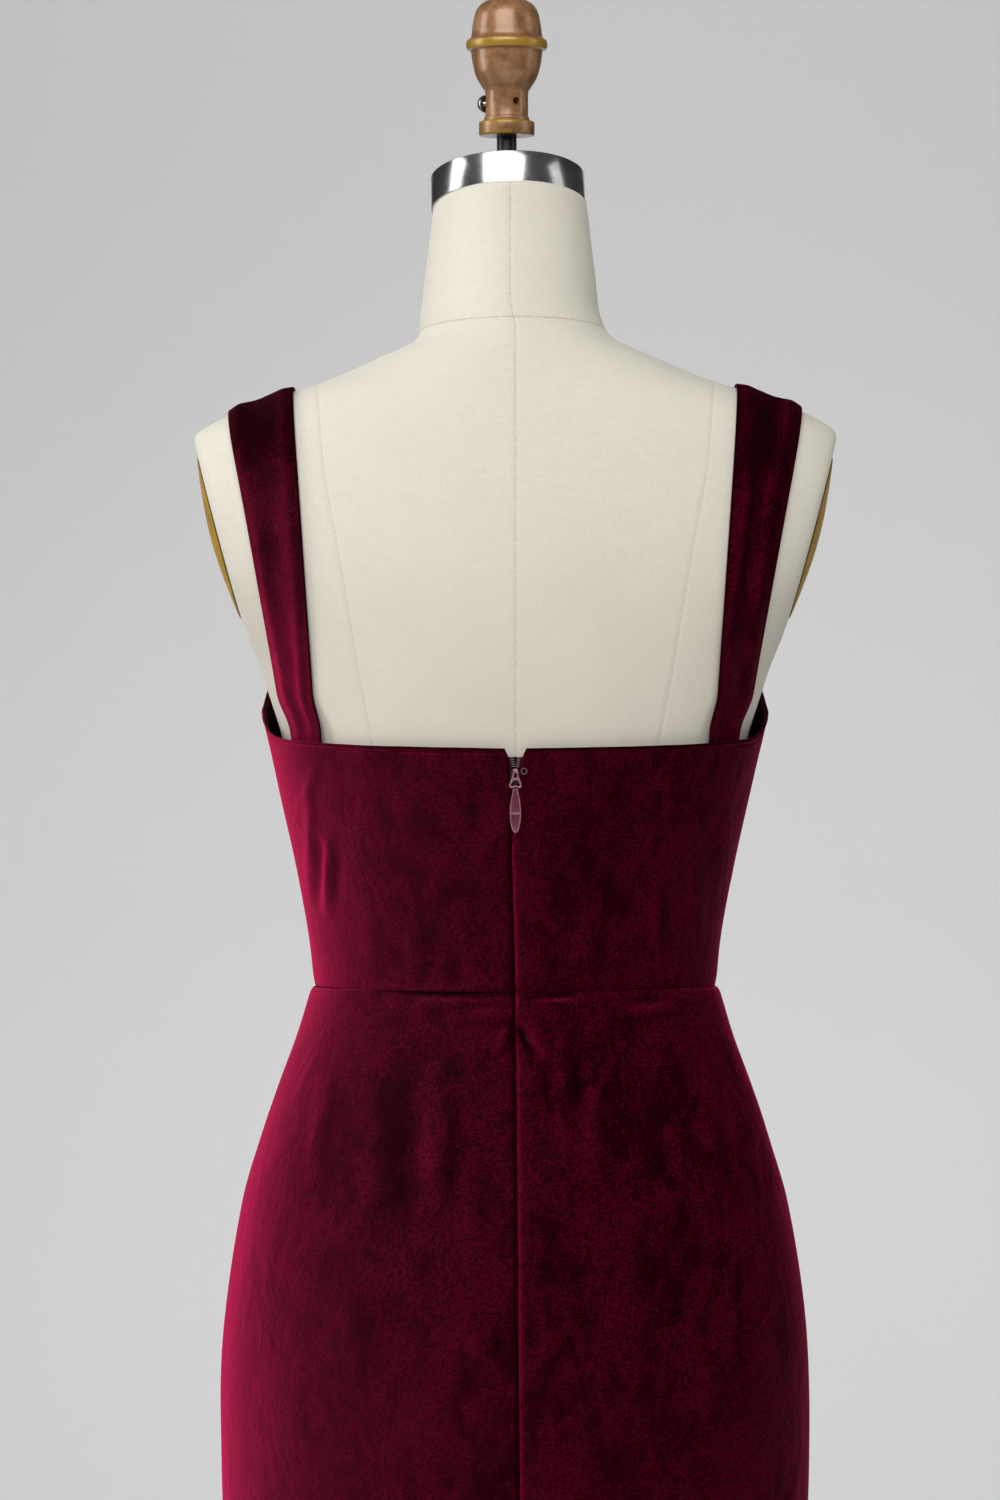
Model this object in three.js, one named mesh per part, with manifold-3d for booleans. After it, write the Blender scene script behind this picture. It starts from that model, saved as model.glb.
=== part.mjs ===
// A floor-length mermaid dress in burgundy velvet, worn by a tailor's dress form on its stand.
// It has a square-backed bodice on two wide straps, a waist seam, and a skirt that is close to the knee and flares
// to the hem. It closes at the centre back with an invisible zip.
// Units are millimetres. +Z is up, the dress's front faces -Y, and +X is the wearer's left.
// The origin is the centre of the stand's foot, on the floor.
import * as THREE from "three";
import { mergeVertices } from "three/addons/utils/BufferGeometryUtils.js";
import Module from "manifold-3d";

const wasm = await Module();
wasm.setup();

// Driving sizes of the dress
const CLOTH = 1.6; // velvet and its backing
const SEAM_GAP = 0.3; // between pieces that are sewn together
const WAIST = 1090; // height of the waist seam
const HEM = 12; // the hem hangs just clear of the floor
const BUST = { x: 84, z: 1260, across: 56, up: 48, out: 30 };
const STRAP = { tuckBack: 1222, tuckFront: 1292, lift: 1.15, ridge: 0.6, rows: 40, columns: 4 };
const STRAP_EDGE = { back: 1243, front: 1311, blend: 25 }; // where the strap leaves the form for the bodice's inside
const NOTCH = { topHalf: 6.4, midHalf: 4.2, lowHalf: 3.7, midDrop: 5, lowDrop: 22.4 };
const ZIP = { tapeHalf: 12, tapeThick: 0.8, tapeBehind: 0.75, top: 1229, bottom: 800 };
const SLIDER = { width: 5.6, thick: 2.2, top: 1222.5, bottom: 1212.8, proud: 0.5, lean: 0.145 };
const PULL = { hingeZ: 1211.2, out: 2.3, bar: 0.45, eyeInside: 0.8, eyeOutside: 1.45, eyeHalf: 1.5, thick: 1 };

// Driving sizes of the dress form and its stand
const LEAN = { neck: 3, shoulders: 0.0075, top: 0.022 }; // the form stands a little askew
const NECK_CAP = { x: 4, z: 1563, radius: 46.9, height: 20, tilt: 0.261 };
const ROD = { x: 5, radius: 6, bottom: 1548, top: 1626 };
const SLIP = 0.35; // room round a rod, a pole or a screw in its hole
const ARM_PLANE = { x: 192, z: 1412, lean: 0.268 };
const ARM_PLATE = { centreZ: 1362.5, halfHeight: 51, halfDepth: 40, edge: 1.4, dome: 6 };
const POLE = { radius: 16, bottom: 8, top: 800 };
const FOOT = { radius: 190, edge: 10, thick: 16, bossRadius: 26, bossTop: 44 };
const COLLAR = { radius: 13.1, holeZ: 1626.5, spareRadius: 2.1, spareTurn: 27 };
const SCREW = { headRadius: 5.3, headThick: 4.2, shankRadius: 2.2, shankLong: 7.1 };

const DEG = Math.PI / 180;
const table = (columns, lines) =>
  lines.map((line) => Object.fromEntries(columns.map((name, i) => [name, line[i]])));
const SECTION = ["z", "halfWidth", "back", "front", "square", "tiltBack", "tiltFront"];

// The dress form, from under the hip to the top of the neck. halfWidth, back and front are a section's reach from the
// pole's axis, square is how boxy it is (2 is an ellipse), and the tilts raise its back and lower its front.
const formSections = table(SECTION, [
  [760, 173, 115, 107, 2.2, 0, 0],
  [800, 175, 119.5, 109, 2.2, 0, 0],
  [880, 173.6, 126, 112, 2.2, 0, 0],
  [960, 161.4, 116.5, 108.8, 2.2, 0, 0],
  [1000, 150, 105.5, 103.5, 2.2, 0, 0],
  [1030, 139.8, 96.5, 98.5, 2.2, 0, 0],
  [1060, 127.8, 88.5, 92.5, 2.2, 0, 0],
  [1090, 119, 85, 89, 2.2, 0, 0],
  [1120, 121.8, 87, 92, 2.2, 0, 0],
  [1160, 127.6, 92.3, 98.5, 2.24, 0, 0],
  [1200, 134, 98, 107, 2.28, 0, 0],
  [1240, 141.4, 103, 115.5, 2.3, 0, 0],
  [1264, 148.8, 105, 118, 2.3, 0, 0],
  [1288, 157.5, 106.3, 116.5, 2.3, 0, 0],
  [1312, 172, 106.5, 112.5, 2.28, 0, 0],
  [1336, 188, 105.5, 106, 2.25, 0, 0],
  [1360, 200, 103, 98.5, 2.2, 0, 0],
  [1384, 206, 99, 90.5, 2.2, 0, 0.02],
  [1404, 206, 95, 83.5, 2.2, 0, 0.05],
  [1421, 200, 90.5, 77, 2.2, 0.01, 0.1],
  [1432, 185, 87, 72, 2.2, 0.02, 0.15],
  [1444, 157, 82, 67, 2.2, 0.04, 0.2],
  [1456, 118, 77, 62, 2.15, 0.06, 0.26],
  [1469, 87, 72, 58, 2.1, 0.07, 0.32],
  [1481, 61.5, 66, 54.5, 2.05, 0.08, 0.36],
  [1496, 55, 60.5, 51.5, 2, 0.09, 0.37],
  [1520, 52, 54, 49.5, 2, 0.15, 0.33],
  [1542, 49.2, 49.6, 47.6, 2, 0.21, 0.29],
  [1563, 46.8, 47, 46.5, 2, 0.261, 0.261],
]);

// The outer face of the bodice, from the waist seam up past the front neckline.
const bodiceSections = table(SECTION, [
  [1090, 122.6, 89, 93, 2.2, 0, 0],
  [1120, 125.8, 91.4, 96.2, 2.2, 0, 0],
  [1160, 132.8, 97.3, 103.6, 2.24, 0, 0],
  [1200, 141.4, 103.6, 113, 2.28, 0, 0],
  [1240, 150.4, 109.4, 122, 2.3, 0, 0],
  [1264, 157, 111.4, 124.8, 2.3, 0, 0],
  [1288, 166, 112.7, 123.3, 2.3, 0, 0],
  [1312, 179.5, 112.9, 119.3, 2.28, 0, 0],
  [1336, 195, 111.9, 112.8, 2.25, 0, 0],
]);

// The outer face of the skirt, from the hem up to the waist seam, without its flutes.
const skirtSections = table(SECTION, [
  [12, 392, 361, 352, 2, 0, 0],
  [70, 356, 323, 315, 2, 0, 0],
  [140, 309, 275, 268, 2, 0, 0],
  [220, 254, 219, 212, 2, 0, 0],
  [300, 206, 170, 163, 2, 0, 0],
  [370, 174, 137, 130, 2.05, 0, 0],
  [430, 158, 119, 113, 2.1, 0, 0],
  [490, 154.5, 113.5, 108, 2.15, 0, 0],
  [560, 159.5, 114.3, 108, 2.2, 0, 0],
  [650, 169, 117, 109.6, 2.2, 0, 0],
  [730, 176, 119.6, 111.2, 2.2, 0, 0],
  [800, 178.8, 124.2, 113.4, 2.2, 0, 0],
  [880, 177.4, 130.2, 116.1, 2.2, 0, 0],
  [960, 165.3, 120.7, 112.9, 2.2, 0, 0],
  [1000, 153.9, 109.7, 107.6, 2.2, 0, 0],
  [1030, 143.8, 100.7, 102.6, 2.2, 0, 0],
  [1060, 133, 93.2, 97.1, 2.2, 0, 0],
  [1090, 124.2, 89.6, 93.8, 2.2, 0, 0],
]);

// The bodice's top edge, by the turn away from the centre back: back neckline, armhole, front neckline.
const topEdge = table(["z", "height"], [
  [0, 1234],
  [35, 1236],
  [62, 1239],
  [72, 1241],
  [80, 1245],
  [90, 1255],
  [100, 1262],
  [108, 1271],
  [118, 1284],
  [130, 1303],
  [138, 1313],
  [150, 1311],
  [166, 1302],
  [180, 1298],
]);

// The flutes of the flared hem: at is the turn, out the reach at the hem, spread the half-width of the flute in
// degrees, and start the height where it fades out.
const flutes = table(["at", "out", "spread", "start"], [
  [12, 36, 9.5, 430],
  [40, 28, 8.5, 390],
  [67, 38, 9.5, 440],
  [97, 31, 9, 410],
  [124, 37, 9.5, 430],
  [151, 27, 8.5, 380],
  [178, 36, 9.5, 440],
  [206, 31, 9, 400],
  [234, 38, 10, 430],
  [262, 29, 8.5, 390],
  [289, 35, 9.5, 430],
  [316, 30, 9, 400],
  [343, 34, 9, 420],
]);

// One column of a table at a height, on a smooth curve through the table's rows.
function columnAt(rows, column, z) {
  const last = rows.length - 1;
  const at = Math.min(Math.max(z, rows[0].z), rows[last].z);
  let i = 0;
  while (i < last - 1 && rows[i + 1].z < at) i++;
  const slope = (k) => {
    const below = rows[Math.max(k - 1, 0)];
    const above = rows[Math.min(k + 1, last)];
    return (above[column] - below[column]) / (above.z - below.z);
  };
  const [p, q] = [rows[i], rows[i + 1]];
  const span = q.z - p.z;
  const u = (at - p.z) / span;
  const rise = u * u * (3 - 2 * u);
  const leave = u * (1 - u) * (1 - u) * span * slope(i);
  const arrive = u * u * (u - 1) * span * slope(i + 1);
  return p[column] * (1 - rise) + q[column] * rise + leave + arrive;
}

// How far the bust carries the front outwards.
function bustAt(x, z) {
  const up = ((z - BUST.z) / BUST.up) ** 2;
  const lobe = (side) => Math.exp(-(((x - side * BUST.x) / BUST.across) ** 2) - up);
  return BUST.out * (lobe(1) + lobe(-1));
}

// A point of a sectioned surface. The turn is in degrees: 0 is the wearer's left, 90 the centre back.
function figurePoint(sections, turn, z) {
  const c = Math.cos(turn * DEG);
  const s = Math.sin(turn * DEG);
  const power = 2 / columnAt(sections, "square", z);
  const isBack = s >= 0;
  const x = columnAt(sections, "halfWidth", z) * Math.sign(c) * Math.abs(c) ** power;
  const reach = columnAt(sections, isBack ? "back" : "front", z) * Math.abs(s) ** power;
  const y = isBack ? reach : -reach - bustAt(x, z) * Math.abs(s);
  const tilt = columnAt(sections, isBack ? "tiltBack" : "tiltFront", z);
  return new THREE.Vector3(x, y, z + y * tilt);
}

// The form's neck leans to the wearer's left, and its left shoulder is the lower one. z is the height of the section.
function askew(p, z) {
  const share = (from, to) => THREE.MathUtils.smoothstep(z, from, to);
  p.z -= p.x * (LEAN.shoulders * share(1380, 1440) + LEAN.top * share(1510, 1560));
  p.x += LEAN.neck * share(1478, 1500);
  return p;
}

// The form is cut flat at each armhole.
function formPoint(turn, z) {
  const p = askew(figurePoint(formSections, turn, z), z);
  const limit = ARM_PLANE.x + (p.z - ARM_PLANE.z) * ARM_PLANE.lean;
  p.x = Math.sign(p.x) * Math.min(Math.abs(p.x), limit);
  return p;
}

// The skirt's flutes stand out from its sections, more and more towards the hem.
function skirtPoint(turn, z) {
  const p = figurePoint(skirtSections, turn, z);
  let out = 0;
  for (const f of flutes) {
    const fall = Math.max(0, (f.start - z) / (f.start - HEM)) ** 1.4;
    const away = ((turn - f.at + 540) % 360) - 180;
    out += f.out * fall * Math.exp(-((away / f.spread) ** 2));
  }
  const flat = Math.hypot(p.x, p.y);
  p.x *= 1 + out / flat;
  p.y *= 1 + out / flat;
  return p;
}

const bodicePoint = (turn, z) => figurePoint(bodiceSections, turn, z);
const topHeight = (turn) => columnAt(topEdge, "height", Math.abs(((turn - 90 + 540) % 360) - 180));

// A closed solid from a list of points and of faces.
function closedGeometry(points, faces) {
  const made = new THREE.BufferGeometry().setFromPoints(points);
  made.setIndex(faces);
  return made;
}

// The two triangles of a four-cornered face.
const quad = (a, b, c, d) => [a, b, c, a, c, d];

// A wall between a grid of outer points and a grid of inner points, closed along its four edges.
function wallGeometry(outer, inner) {
  const rows = outer.length;
  const columns = outer[0].length;
  const points = [...outer.flat(), ...inner.flat()];
  const o = (r, c) => r * columns + c;
  const n = (r, c) => rows * columns + o(r, c);
  const faces = [];
  for (let r = 0; r < rows - 1; r++) {
    for (let c = 0; c < columns - 1; c++) {
      faces.push(...quad(o(r, c), o(r, c + 1), o(r + 1, c + 1), o(r + 1, c)));
      faces.push(...quad(n(r, c), n(r + 1, c), n(r + 1, c + 1), n(r, c + 1)));
    }
    const end = columns - 1;
    faces.push(...quad(o(r, 0), o(r + 1, 0), n(r + 1, 0), n(r, 0)));
    faces.push(...quad(o(r, end), n(r, end), n(r + 1, end), o(r + 1, end)));
  }
  for (let c = 0; c < columns - 1; c++) {
    const top = rows - 1;
    faces.push(...quad(o(0, c), n(0, c), n(0, c + 1), o(0, c + 1)));
    faces.push(...quad(o(top, c), o(top, c + 1), n(top, c + 1), n(top, c)));
  }
  return closedGeometry(points, faces);
}

// A solid through closed rings, bottom to top, with flat ends.
function ringsGeometry(rings) {
  const count = rings[0].length;
  const points = rings.flat();
  const faces = [];
  for (let r = 0; r < rings.length - 1; r++) {
    for (let c = 0; c < count; c++) {
      const d = (c + 1) % count;
      const [low, high] = [r * count, (r + 1) * count];
      faces.push(...quad(low + c, low + d, high + d, high + c));
    }
  }
  const top = (rings.length - 1) * count;
  for (let c = 1; c < count - 1; c++) {
    faces.push(0, c + 1, c, top, top + c, top + c + 1);
  }
  return closedGeometry(points, faces);
}

// Outward direction of a surface at a turn and a height.
function outwardAt(pointAt, turn, z) {
  const [dTurn, dHeight] = [0.5, 1];
  const along = pointAt(turn + dTurn, z).sub(pointAt(turn - dTurn, z));
  const up = pointAt(turn, z + dHeight).sub(pointAt(turn, z - dHeight));
  return along.cross(up).normalize();
}

// A panel cut from a surface between two turns. rowsAt gives the heights of its rows at a turn. The first and last
// columns stop half a seam short of the next panel.
function panelGeometry(pointAt, turns, rowsAt) {
  const half = SEAM_GAP / 2;
  const trim = (p, turn, inwards) => {
    const onSide = Math.abs(Math.sin(turn * DEG)) < 0.5;
    const ahead = new THREE.Vector3(-Math.sin(turn * DEG), Math.cos(turn * DEG), 0).round();
    if (onSide) p.y = ahead.y * half * inwards;
    else p.x = ahead.x * half * inwards;
    return p;
  };
  const grids = [[], []];
  const count = rowsAt(turns[0]).length;
  for (let r = 0; r < count; r++) {
    const [outerRow, innerRow] = [[], []];
    turns.forEach((turn, c) => {
      const z = rowsAt(turn)[r];
      const outer = pointAt(turn, z);
      const inner = outer.clone().addScaledVector(outwardAt(pointAt, turn, z), -CLOTH);
      inner.z = outer.z;
      const ends = c === 0 ? 1 : c === turns.length - 1 ? -1 : 0;
      outerRow.push(ends ? trim(outer, turn, ends) : outer);
      innerRow.push(ends ? trim(inner, turn, ends) : inner);
    });
    grids[0].push(outerRow);
    grids[1].push(innerRow);
  }
  return wallGeometry(grids[0], grids[1]);
}

const spaced = (from, to, steps) =>
  Array.from({ length: steps + 1 }, (_, i) => from + ((to - from) * i) / steps);

// manifold-3d's solid from a closed geometry, and a geometry from its solid
function solidOf(geometry) {
  const bare = geometry.clone();
  bare.deleteAttribute("normal");
  bare.deleteAttribute("uv");
  const merged = mergeVertices(bare, 1e-4);
  const index = merged.index.array;
  return new wasm.Manifold(
    new wasm.Mesh({
      numProp: 3,
      vertProperties: new Float32Array(merged.attributes.position.array),
      triVerts: new Uint32Array(index),
    }),
  );
}
function geometryOf(solid) {
  const mesh = solid.getMesh();
  const made = new THREE.BufferGeometry();
  made.setAttribute("position", new THREE.BufferAttribute(mesh.vertProperties, 3));
  made.setIndex(new THREE.BufferAttribute(mesh.triVerts, 1));
  return made;
}
const cut = (geometry, ...tools) =>
  geometryOf(tools.reduce((left, tool) => left.subtract(solidOf(tool)), solidOf(geometry)));
const join = (...geometries) =>
  geometryOf(geometries.map(solidOf).reduce((all, next) => all.add(next)));

// A turned piece round the Z axis. The profile runs from the top down, as [radius, height] pairs.
function turned(profile, sides) {
  const points = profile.map(([radius, height]) => new THREE.Vector2(radius, height));
  return new THREE.LatheGeometry(points.reverse(), sides).rotateX(Math.PI / 2);
}

// A round bar between two heights on the Z axis.
function bar(radius, bottom, top, sides) {
  const long = top - bottom;
  return new THREE.CylinderGeometry(radius, radius, long, sides)
    .rotateX(Math.PI / 2)
    .translate(0, 0, bottom + long / 2);
}

// A flat outline in X and Z, given its thickness along Y and centred on Y = 0
function plate(outline, thick, hole) {
  const shape = new THREE.Shape(outline.map(([x, z]) => new THREE.Vector2(x, z)));
  if (hole) shape.holes.push(new THREE.Path(hole.map(([x, z]) => new THREE.Vector2(x, z))));
  return new THREE.ExtrudeGeometry(shape, { depth: thick, bevelEnabled: false })
    .rotateX(Math.PI / 2)
    .translate(0, thick / 2, 0);
}

const finish = (color, roughness, metalness) =>
  new THREE.MeshStandardMaterial({ color, roughness, metalness });
const velvet = finish(0x5a0a1f, 0.85, 0);
const zipMetal = finish(0x7a3040, 0.4, 0.6);
const linen = finish(0xdcd7c8, 0.9, 0);
const steel = finish(0xb8b8b6, 0.35, 1);
const copper = finish(0x9a6840, 0.4, 0.8);
const ochre = finish(0xa87808, 0.35, 0.5);
const blackIron = finish(0x17171a, 0.5, 0.6);

const part = new THREE.Group();
function piece(name, geometry, material) {
  const mesh = new THREE.Mesh(geometry, material);
  mesh.name = name;
  part.add(mesh);
  return mesh;
}

// Bodice
const BODICE_ROWS = 9;
const BODICE_STEP = 5;
const bodiceRows = (turn) => spaced(WAIST + SEAM_GAP / 2, topHeight(turn), BODICE_ROWS);
const bodicePanel = (from, to) =>
  panelGeometry(bodicePoint, spaced(from, to, (to - from) / BODICE_STEP), bodiceRows);

// The two back panels part in a notch above the zip's slider.
function notchTool() {
  const top = topHeight(90);
  const right = [
    [NOTCH.topHalf + 2, top + 10],
    [NOTCH.topHalf, top],
    [NOTCH.midHalf, top - NOTCH.midDrop],
    [NOTCH.lowHalf, top - NOTCH.lowDrop],
  ];
  const left = right.map(([x, z]) => [-x, z]).reverse();
  const through = 30 * CLOTH;
  return plate([...left, ...right].reverse(), through).translate(0, bodicePoint(90, top).y, 0);
}
piece("bodice_back_left", cut(bodicePanel(0, 90), notchTool()), velvet);
piece("bodice_back_right", cut(bodicePanel(90, 180), notchTool()), velvet);
piece("bodice_front", bodicePanel(180, 360), velvet);

// Skirt
const SKIRT_STEP = 4.5;
const skirtRows = skirtSections.map((row) => row.z);
skirtRows[skirtRows.length - 1] -= SEAM_GAP / 2;
const skirtPanel = (from, to) =>
  panelGeometry(skirtPoint, spaced(from, to, (to - from) / SKIRT_STEP), () => skirtRows);
piece("skirt_back_left", skirtPanel(0, 90), velvet);
piece("skirt_back_right", skirtPanel(90, 180), velvet);
piece("skirt_front", skirtPanel(180, 360), velvet);

// Straps. Each runs over the shoulder from inside the back neckline to inside the front one. The columns give the
// strap's inner and outer edge at its back end, on the shoulder and at its front end, by their distance from the centre.
const strapEdges = {
  inner: { back: 117, shoulder: 133, front: 97 },
  outer: { back: 135, shoulder: 173, front: 129 },
};

// Height of the shoulder line at a distance from the centre
function shoulderHeight(x) {
  let [low, high] = [1422, 1483];
  for (let i = 0; i < 30; i++) {
    const middle = (low + high) / 2;
    if (columnAt(formSections, "halfWidth", middle) > x) low = middle;
    else high = middle;
  }
  return low;
}

// The turn at which a section reaches a distance from the centre, on its left half
function turnAt(sections, x, z) {
  const share = Math.min(1, x / columnAt(sections, "halfWidth", z));
  return Math.acos(share ** (columnAt(sections, "square", z) / 2)) / DEG;
}

// Where a strap lies at a distance from the centre and at the height of a section. side is 1 on the back, -1 on the
// front. It lies on the form, and inside the bodice where it is tucked under the top edge.
function strapBed(x, z, side) {
  const onForm = figurePoint(formSections, side * turnAt(formSections, x, z), z);
  const above = z - (side > 0 ? STRAP_EDGE.back : STRAP_EDGE.front);
  if (above > STRAP_EDGE.blend) return onForm;
  const turn = side * turnAt(bodiceSections, x, z);
  const deep = 2 * CLOTH + 1.7 * SEAM_GAP + STRAP.ridge + STRAP.lift;
  const inside = bodicePoint(turn, z).addScaledVector(outwardAt(bodicePoint, turn, z), -deep);
  return onForm.lerp(inside, 1 - THREE.MathUtils.smoothstep(above, 0, STRAP_EDGE.blend));
}

// One lengthwise line of a strap, at a share of its width, as evenly spaced points from its back end to its front end
function strapLine(share) {
  const at = (end) => THREE.MathUtils.lerp(strapEdges.outer[end], strapEdges.inner[end], share);
  const top = shoulderHeight(at("shoulder"));
  const pointAt = (way) => {
    const [end, bottom] = way > 0 ? ["back", STRAP.tuckBack] : ["front", STRAP.tuckFront];
    const rise = Math.cos(way * 90 * DEG);
    const x = THREE.MathUtils.lerp(at(end), at("shoulder"), rise ** 1.15);
    return strapBed(x, bottom + (top - bottom) * rise, Math.sign(way) || 1);
  };
  const curve = new THREE.CatmullRomCurve3(spaced(1, -1, 120).map(pointAt), false, "centripetal");
  curve.arcLengthDivisions = 400;
  return curve.getSpacedPoints(STRAP.rows);
}

function strapGeometry(side) {
  const lines = spaced(0, 1, STRAP.columns).map(strapLine);
  const base = spaced(0, STRAP.rows, STRAP.rows).map((r) => lines.map((line) => line[r]));
  const pick = (r, c) =>
    base[THREE.MathUtils.clamp(r, 0, STRAP.rows)][THREE.MathUtils.clamp(c, 0, STRAP.columns)];
  const raised = (extra) =>
    base.map((row, r) =>
      row.map((p, c) => {
        const across = pick(r, c + 1).clone().sub(pick(r, c - 1));
        const along = pick(r + 1, c).clone().sub(pick(r - 1, c));
        const out = across.cross(along).normalize();
        const made = p.clone().addScaledVector(out, STRAP.lift + extra(c));
        made.x *= side;
        return askew(made, made.z);
      }),
    );
  const ridge = (c) => STRAP.ridge * (c % 2 === 0 ? 1 : 0);
  const inner = raised(() => 0);
  const outer = raised((c) => CLOTH + ridge(c));
  const flip = (grid) => grid.map((row) => [...row].reverse());
  return side > 0 ? wallGeometry(outer, inner) : wallGeometry(flip(outer), flip(inner));
}
piece("strap_left", strapGeometry(1), velvet);
piece("strap_right", strapGeometry(-1), velvet);

// Zip: the tape behind the seam, the slider in the notch, and the pull that hangs from its bail
function tapeGeometry() {
  const behind = CLOTH + ZIP.tapeBehind;
  const rows = [...skirtRows, ...bodiceRows(90)].filter((z) => z >= ZIP.bottom && z < ZIP.top);
  rows.push(ZIP.top);
  const surfaceAt = (x, z) => {
    const sections = z >= WAIST ? bodiceSections : skirtSections;
    return figurePoint(sections, turnAt(sections, Math.abs(x), z), z).y;
  };
  const across = spaced(ZIP.tapeHalf, -ZIP.tapeHalf, 4);
  const gridAt = (depth) =>
    rows.map((z) => across.map((x) => new THREE.Vector3(x, surfaceAt(x, z) - depth, z)));
  return wallGeometry(gridAt(behind), gridAt(behind + ZIP.tapeThick));
}
piece("zip_tape", tapeGeometry(), velvet);

const clothFaceY = bodicePoint(90, PULL.hingeZ).y;
const hingeY = clothFaceY + PULL.out;
const mirrored = (half) => [...half, ...half.map(([x, z]) => [-x, z]).reverse()].reverse();

// The slider's body lies in the notch. Its bail is a flat frame that stands off it: a nose, a small window, and a wider
// window over the bar that the pull hangs from.
function sliderGeometry() {
  const half = SLIDER.width / 2;
  const [shoulder, taper] = [2.4, 1.1]; // the body narrows to its ends
  const body = plate(
    mirrored([
      [half - taper, SLIDER.top],
      [half, SLIDER.top - shoulder],
      [half, SLIDER.bottom + shoulder],
      [half - taper, SLIDER.bottom],
    ]),
    SLIDER.thick,
  )
    .translate(0, SLIDER.proud - SLIDER.thick / 2, -PULL.hingeZ)
    .rotateX(-Math.atan(SLIDER.lean))
    .translate(0, clothFaceY, PULL.hingeZ);
  const bailOutline = mirrored([
    [1.3, 10.4],
    [1.9, 6],
    [2.7, 4.2],
    [3.8, 0.8],
    [3.6, -0.1],
    [3, -PULL.bar],
  ]);
  const wideWindow = mirrored([
    [1.5, 4],
    [2.7, 1.1],
    [2.4, PULL.bar],
  ]);
  const smallWindow = plate(
    mirrored([
      [0.7, 8.2],
      [1.1, 6.9],
      [1.1, 5.4],
    ]),
    3 * PULL.bar,
  );
  const nose = plate(
    mirrored([
      [1.2, 10.2],
      [1.2, 8.7],
    ]),
    PULL.out + PULL.bar,
  ).translate(0, -PULL.out / 2, 0);
  const bail = cut(plate(bailOutline, 2 * PULL.bar, wideWindow), smallWindow);
  return join(body, join(bail, nose).translate(0, hingeY, PULL.hingeZ));
}
piece("zip_slider", sliderGeometry(), zipMetal);

// The pull is a leaf with a raised rim, under an eye that goes round the bail's bar.
function pullGeometry() {
  const eyeOutline = new THREE.Shape().absarc(0, 0, PULL.eyeOutside, 0, 2 * Math.PI);
  eyeOutline.holes.push(new THREE.Path().absarc(0, 0, PULL.eyeInside, 0, 2 * Math.PI));
  const eye = new THREE.ExtrudeGeometry(eyeOutline, {
    depth: 2 * PULL.eyeHalf,
    curveSegments: 8,
    bevelEnabled: false,
  })
    .rotateY(Math.PI / 2)
    .translate(-PULL.eyeHalf, 0, 0);
  const blade = plate(
    mirrored([
      [PULL.eyeHalf, -1.15],
      [1.9, -4],
      [2.8, -9],
      [3.3, -14.5],
      [3.2, -19],
      [2.4, -23.5],
      [0.9, -26.7],
    ]),
    PULL.thick,
  );
  const upperPanel = plate(
    mirrored([
      [1.2, -4.6],
      [2.2, -9.5],
      [2.6, -15],
    ]),
    PULL.thick,
  ).translate(0, PULL.thick - 0.3, 0);
  const lowerPanel = plate(
    mirrored([
      [2.6, -16],
      [2.5, -19],
      [1.7, -23.2],
      [0.7, -25],
    ]),
    PULL.thick,
  ).translate(0, PULL.thick - 0.3, 0);
  return cut(join(eye, blade), upperPanel, lowerPanel).translate(0, hingeY, PULL.hingeZ);
}
piece("zip_pull", pullGeometry(), zipMetal);

// Dress form
const FORM_SIDES = 40;
const rodHole = bar(ROD.radius + SLIP, ROD.bottom - 1, ROD.top, 20).translate(ROD.x, 0, 0);
const poleHole = bar(POLE.radius + SLIP, formSections[0].z - 10, POLE.top + 1, 24);
const shoulderLevels = [1440, 1452, 1464, 1477, 1489];
const torsoLevels = [...formSections.map(({ z }) => z), ...shoulderLevels].sort((a, b) => a - b);
const torsoRings = torsoLevels.map((z) =>
  spaced(0, 360, FORM_SIDES)
    .slice(0, -1)
    .map((turn) => formPoint(turn, z)),
);
piece("form_torso", cut(ringsGeometry(torsoRings), rodHole, poleHole), linen);

const capTilt = Math.atan(NECK_CAP.tilt);
function neckCapGeometry() {
  const { radius, height } = NECK_CAP;
  const profile = [
    [0, height],
    [radius - 1.5, height],
    [radius, height - 1.5],
    [radius, SEAM_GAP],
    [0, SEAM_GAP],
  ];
  const roll = Math.atan(LEAN.shoulders + LEAN.top);
  const cap = turned(profile, 48).rotateX(capTilt).rotateY(roll);
  cap.translate(NECK_CAP.x, 0, NECK_CAP.z - (NECK_CAP.x - LEAN.neck) * Math.tan(roll));
  return cut(cap, rodHole);
}
piece("form_neck_cap", neckCapGeometry(), steel);
piece("form_rod", bar(ROD.radius, ROD.bottom, ROD.top - 1, 20).translate(ROD.x, 0, 0), blackIron);

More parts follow.
